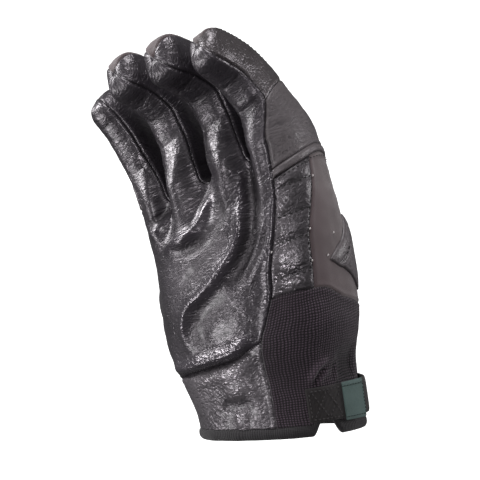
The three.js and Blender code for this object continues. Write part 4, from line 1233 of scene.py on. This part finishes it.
# Knit: rows of small rounded loops on a grid, dark between the loops.
def knit(name, dark, light, wide=1.15, tall=1.1):
    finish = Finish(name, Specular_IOR_Level=0.22, Sheen_Weight=0.1, Sheen_Roughness=0.45)
    base = finish.uv()
    across, along = finish.flat(finish.shifted(base, finish.warp(base, 0.12, 1.0), 1.6))
    a = (across / wide).fraction() - 0.5
    b = (along / tall).fraction() - 0.5
    loops = (1 - (a * a * 5.6 + b * b * 5.6)).clamped()
    rib = (across * (np.pi / wide)).sine() * 0.5 + 0.5
    patches, fuzz = finish.spots(0.05, 3.0), finish.spots(2.0, 2.0)
    # Fold relief paints raised folds lighter and valleys darker: painted highlight and painted shade.
    shade = loops * 0.75 * (patches + 0.3) + fuzz * 0.15 + finish.value("relief") * 0.2
    height = loops * 0.22 + rib * 0.06 + fuzz * 0.04
    return finish.finish(finish.blend(dark, light, shade.clamped()), 0.82 + fuzz * 0.12, height)


# Woven tape: narrow ribs across the tape, with a flat weave between them. Bars are dark grooves,
# each at its own height in millimetres.
def tape(name, dark, light, rib=0.9, fine=0.45, bars=(), barHalf=0.45):
    finish = Finish(name, Specular_IOR_Level=0.3, Sheen_Weight=0.1, Sheen_Roughness=0.5)
    across, along = finish.flat(finish.uv())
    ribs = (across * (2 * np.pi / rib)).sine() * 0.5 + 0.5
    threads = (along * (2 * np.pi / fine)).sine() * 0.5 + 0.5
    patches, fuzz = finish.spots(0.08, 3.0), finish.spots(2.4, 2.0)
    shade = (ribs * 0.35 + threads * 0.2 + patches * 0.5 + fuzz * 0.15 - 0.1).clamped()
    height = ribs * 0.12 + threads * 0.05 + fuzz * 0.04
    for bar in bars:
        line = (1 - abs(along - bar) / barHalf).clamped()
        shade = shade * (1 - line * 0.9)
        height = height - line * 0.35
    return finish.finish(finish.blend(dark, light, shade.clamped()), 0.85 + fuzz * 0.1, height)


def thread(name, color):
    finish = Finish(name, Specular_IOR_Level=0.35)
    twist = finish.spots(3.0, 1.0)
    light = tuple(part * 1.7 for part in color)
    return finish.finish(finish.blend(color, light, twist), 0.6 + twist * 0.1, twist * 0.08)


palmLeather = leather("palmLeather", (0.004, 0.0033, 0.0044), (0.0255, 0.0218, 0.0272))
# The cuff leather is the palm's leather painted several times lighter: a painted highlight over the heel.
cuffLeather = leather("cuffLeather", (0.016, 0.014, 0.0165), (0.09, 0.081, 0.089), pebble=1.5, gloss=0.31,
                      domes=0.2, waves=1.1)
# Past -46 degrees the knuckle panels are painted lighter: painted light on that side.
panelLeather = leather("panelLeather", (0.01, 0.0085, 0.009), (0.042, 0.036, 0.037), pebble=1.1,
                       stretch=0.85, gloss=0.34, domes=0.13, lines=0.1, creases=0.1, waves=0.5,
                       matteAt=-46.0, matteShade=0.25)
# The side guard's leather is painted lighter than the palm's as a painted highlight on its near part, and
# painted darker past -45 degrees as painted shade on its far part.
guardLeather = leather("guardLeather", (0.006, 0.005, 0.006), (0.082, 0.074, 0.081), pebble=1.2,
                       stretch=0.8, gloss=0.27, domes=0.12, lines=0.1, creases=0.25, waves=0.9,
                       matteAt=-45.0, matteShade=-0.8)
backCloth = stretchCloth("backCloth", (0.03, 0.0212, 0.0226), (0.085, 0.0605, 0.0655))
knitCloth = knit("knitCloth", (0.003, 0.0024, 0.003), (0.088, 0.0625, 0.083))
bindingTape = tape("bindingTape", (0.004, 0.0035, 0.004), (0.018, 0.0155, 0.018), rib=1.1, fine=0.6)
strapTape = tape("strapTape", (0.0045, 0.0036, 0.0038), (0.021, 0.0168, 0.018), rib=0.8)
labelTape = tape("labelTape", (0.022, 0.04, 0.037), (0.086, 0.128, 0.123), rib=0.5, fine=0.5,
                 bars=(7.6, 21.2))
darkThread = thread("darkThread", (0.007, 0.006, 0.007))
strapThread = thread("strapThread", (0.02, 0.018, 0.019))
labelThread = thread("labelThread", (0.006, 0.018, 0.016))
paleThread = thread("paleThread", (0.3, 0.28, 0.28))
print("finishes done")

fingerBacks = [f"{row['name']}_finger_back" for row in fingerRows]
betweens = [betweenName(index) for index in range(lastFinger)]
dressing = [
    ("palm_leather", palmLeather, ["palm", "thumb_front"] + betweens),
    ("panel_leather", cuffLeather, ["cuff_leather"]),
    ("panel_leather", guardLeather, ["side_guard"]),
    ("panel_leather", panelLeather, ["knuckle_guard", "knuckle_piping", "thumb_back", "back_pad",
                                     "little_side_strip", "index_side_strip"]),
    ("stretch_fabric", backCloth, ["hand_back"] + fingerBacks),
    ("knit_fabric", knitCloth, ["wrist_knit"]),
    ("binding_fabric", bindingTape, ["cuff_binding"]),
    ("binding_fabric", darkThread, ["stitching_dark", "stitching_pad"]),
    ("binding_fabric", paleThread, ["stitching_pale"]),
    ("strap_webbing", strapTape, ["wrist_strap"]),
    ("strap_webbing", strapThread, ["stitching_strap"]),
    ("label_fabric", labelTape, ["strap_label"]),
    ("label_fabric", labelThread, ["stitching_label"]),
]
looks = {name: (material, slotName) for slotName, material, names in dressing for name in names}


paddedPieces = ["side_guard", "back_pad"]
stretchedPieces = ["hand_back", "wrist_knit", "wrist_strap", "cuff_binding"] + fingerBacks
clothPieces = dict.fromkeys(stretchedPieces, "stretched")
clothPieces["strap_label"] = "folded"
for name, piece in pieces.items():
    material, slotName = looks[name]
    piece.data.materials.append(material)
    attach(piece, "root")
    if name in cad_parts:
        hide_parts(name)
    name in paddedPieces
    name in clothPieces


# The floor and the backdrop are one sheet: flat in front, rising by a quarter circle behind.
paper = dict(reach=2.4, front=0.5, bend=0.5, top=2.2, drop=0.6)


def addBackdrop():
    turn = np.linspace(0, 1, 60) * np.pi / 2
    floor = np.linspace(-paper["reach"], paper["front"], 20)[:-1]
    rise = np.linspace(paper["bend"], paper["top"], 20)[1:]
    back = np.full(len(rise), paper["front"] + paper["bend"])
    depth = np.concatenate([floor, paper["front"] + paper["bend"] * np.sin(turn), back])
    height = np.concatenate([np.zeros(len(floor)), paper["bend"] * (1 - np.cos(turn)), rise]) - paper["drop"]
    across = np.linspace(-paper["reach"], paper["reach"], 9)[:, None, None]
    side, upward, far = cameraAxes()
    points = side * across + far * depth[None, :, None] + upward * height[None, :, None]
    quads = cornersOf(gridNumbers(*points.shape[:2]))[:, :, [0, 3, 2, 1]].reshape(-1, 4)
    backdrop = makeMesh("backdrop", points / mm, quads.tolist())
    backdrop.visible_diffuse = False  # the paper doesn't light the glove
    backdrop.visible_glossy = False
    finish = Finish("backdropPaper", Roughness=0.9, Emission_Strength=0.7, Emission_Color=(1, 1, 1, 1),
                    Base_Color=(0.93, 0.93, 0.93, 1))
    backdrop.data.materials.append(finish.material)


# The camera looks level from the little-finger side of the palm.
view = dict(turn=40.0, distance=0.48, pixelsPerMm=2.1, originX=282.0, originY=432.0, size=480.0, sensor=36.0)


def cameraAxes():
    a = view["turn"] * degrees
    return np.array([np.cos(a), np.sin(a), 0]), np.array([0, 0, 1.0]), np.array([-np.sin(a), np.cos(a), 0])


def addCamera():
    right, up, forward = cameraAxes()
    offsetX = (view["size"] / 2 - view["originX"]) / view["pixelsPerMm"] * mm
    offsetY = (view["originY"] - view["size"] / 2) / view["pixelsPerMm"] * mm
    spot = right * offsetX + up * offsetY - forward * view["distance"]
    camera = bpy.data.cameras.new("camera")
    camera.sensor_width = view["sensor"]
    camera.lens = view["pixelsPerMm"] * view["distance"] / mm * view["sensor"] / view["size"]
    camera.clip_start = 0.01
    holder = placed("camera", camera)
    holder.location = spot
    holder.rotation_euler = Vector(forward).to_track_quat("-Z", "Y").to_euler()
    bpy.context.scene.camera = holder


# Lights: side, up and forward of the camera's axes in metres, size, watts.
lamps = dict(
    left=(-0.8, 0.4, 0.12, 0.3, 7.5),
    leftLow=(-0.76, -0.3, -0.14, 0.2, 3.2),
    right=(0.8, 0.2, -0.05, 0.3, 5.0),
    top=(-0.1, 0.85, -0.25, 0.35, 8.0),
    front=(-0.2, 0.02, -0.92, 0.14, 4.5),
)


def addLamps():
    right, up, forward = cameraAxes()
    aim = np.array([0, 0, 0.1])
    for name, (side, high, far, size, watts) in lamps.items():
        lamp = bpy.data.lights.new(name, "AREA")
        lamp.size = size
        lamp.energy = watts
        spot = aim + right * side + up * high + forward * far
        holder = placed(name, lamp)
        holder.location = spot
        holder.rotation_euler = Vector(aim - spot).to_track_quat("-Z", "Y").to_euler()


addBackdrop()
addCamera()
addLamps()
world = bpy.data.worlds.new("studio")
bpy.context.scene.world = world
world.use_nodes = True
background = world.node_tree.nodes["Background"]
background.inputs["Color"].default_value = (1, 1, 1, 1)
seen = world.node_tree.nodes.new("ShaderNodeLightPath")
level = world.node_tree.nodes.new("ShaderNodeMapRange")  # white where it is seen, dim as a light
level.inputs["To Min"].default_value = 0.13
world.node_tree.links.new(seen.outputs["Is Camera Ray"], level.inputs["Value"])
world.node_tree.links.new(level.outputs[0], background.inputs["Strength"])
bpy.context.scene.view_settings.view_transform = "Standard"
print("studio done")
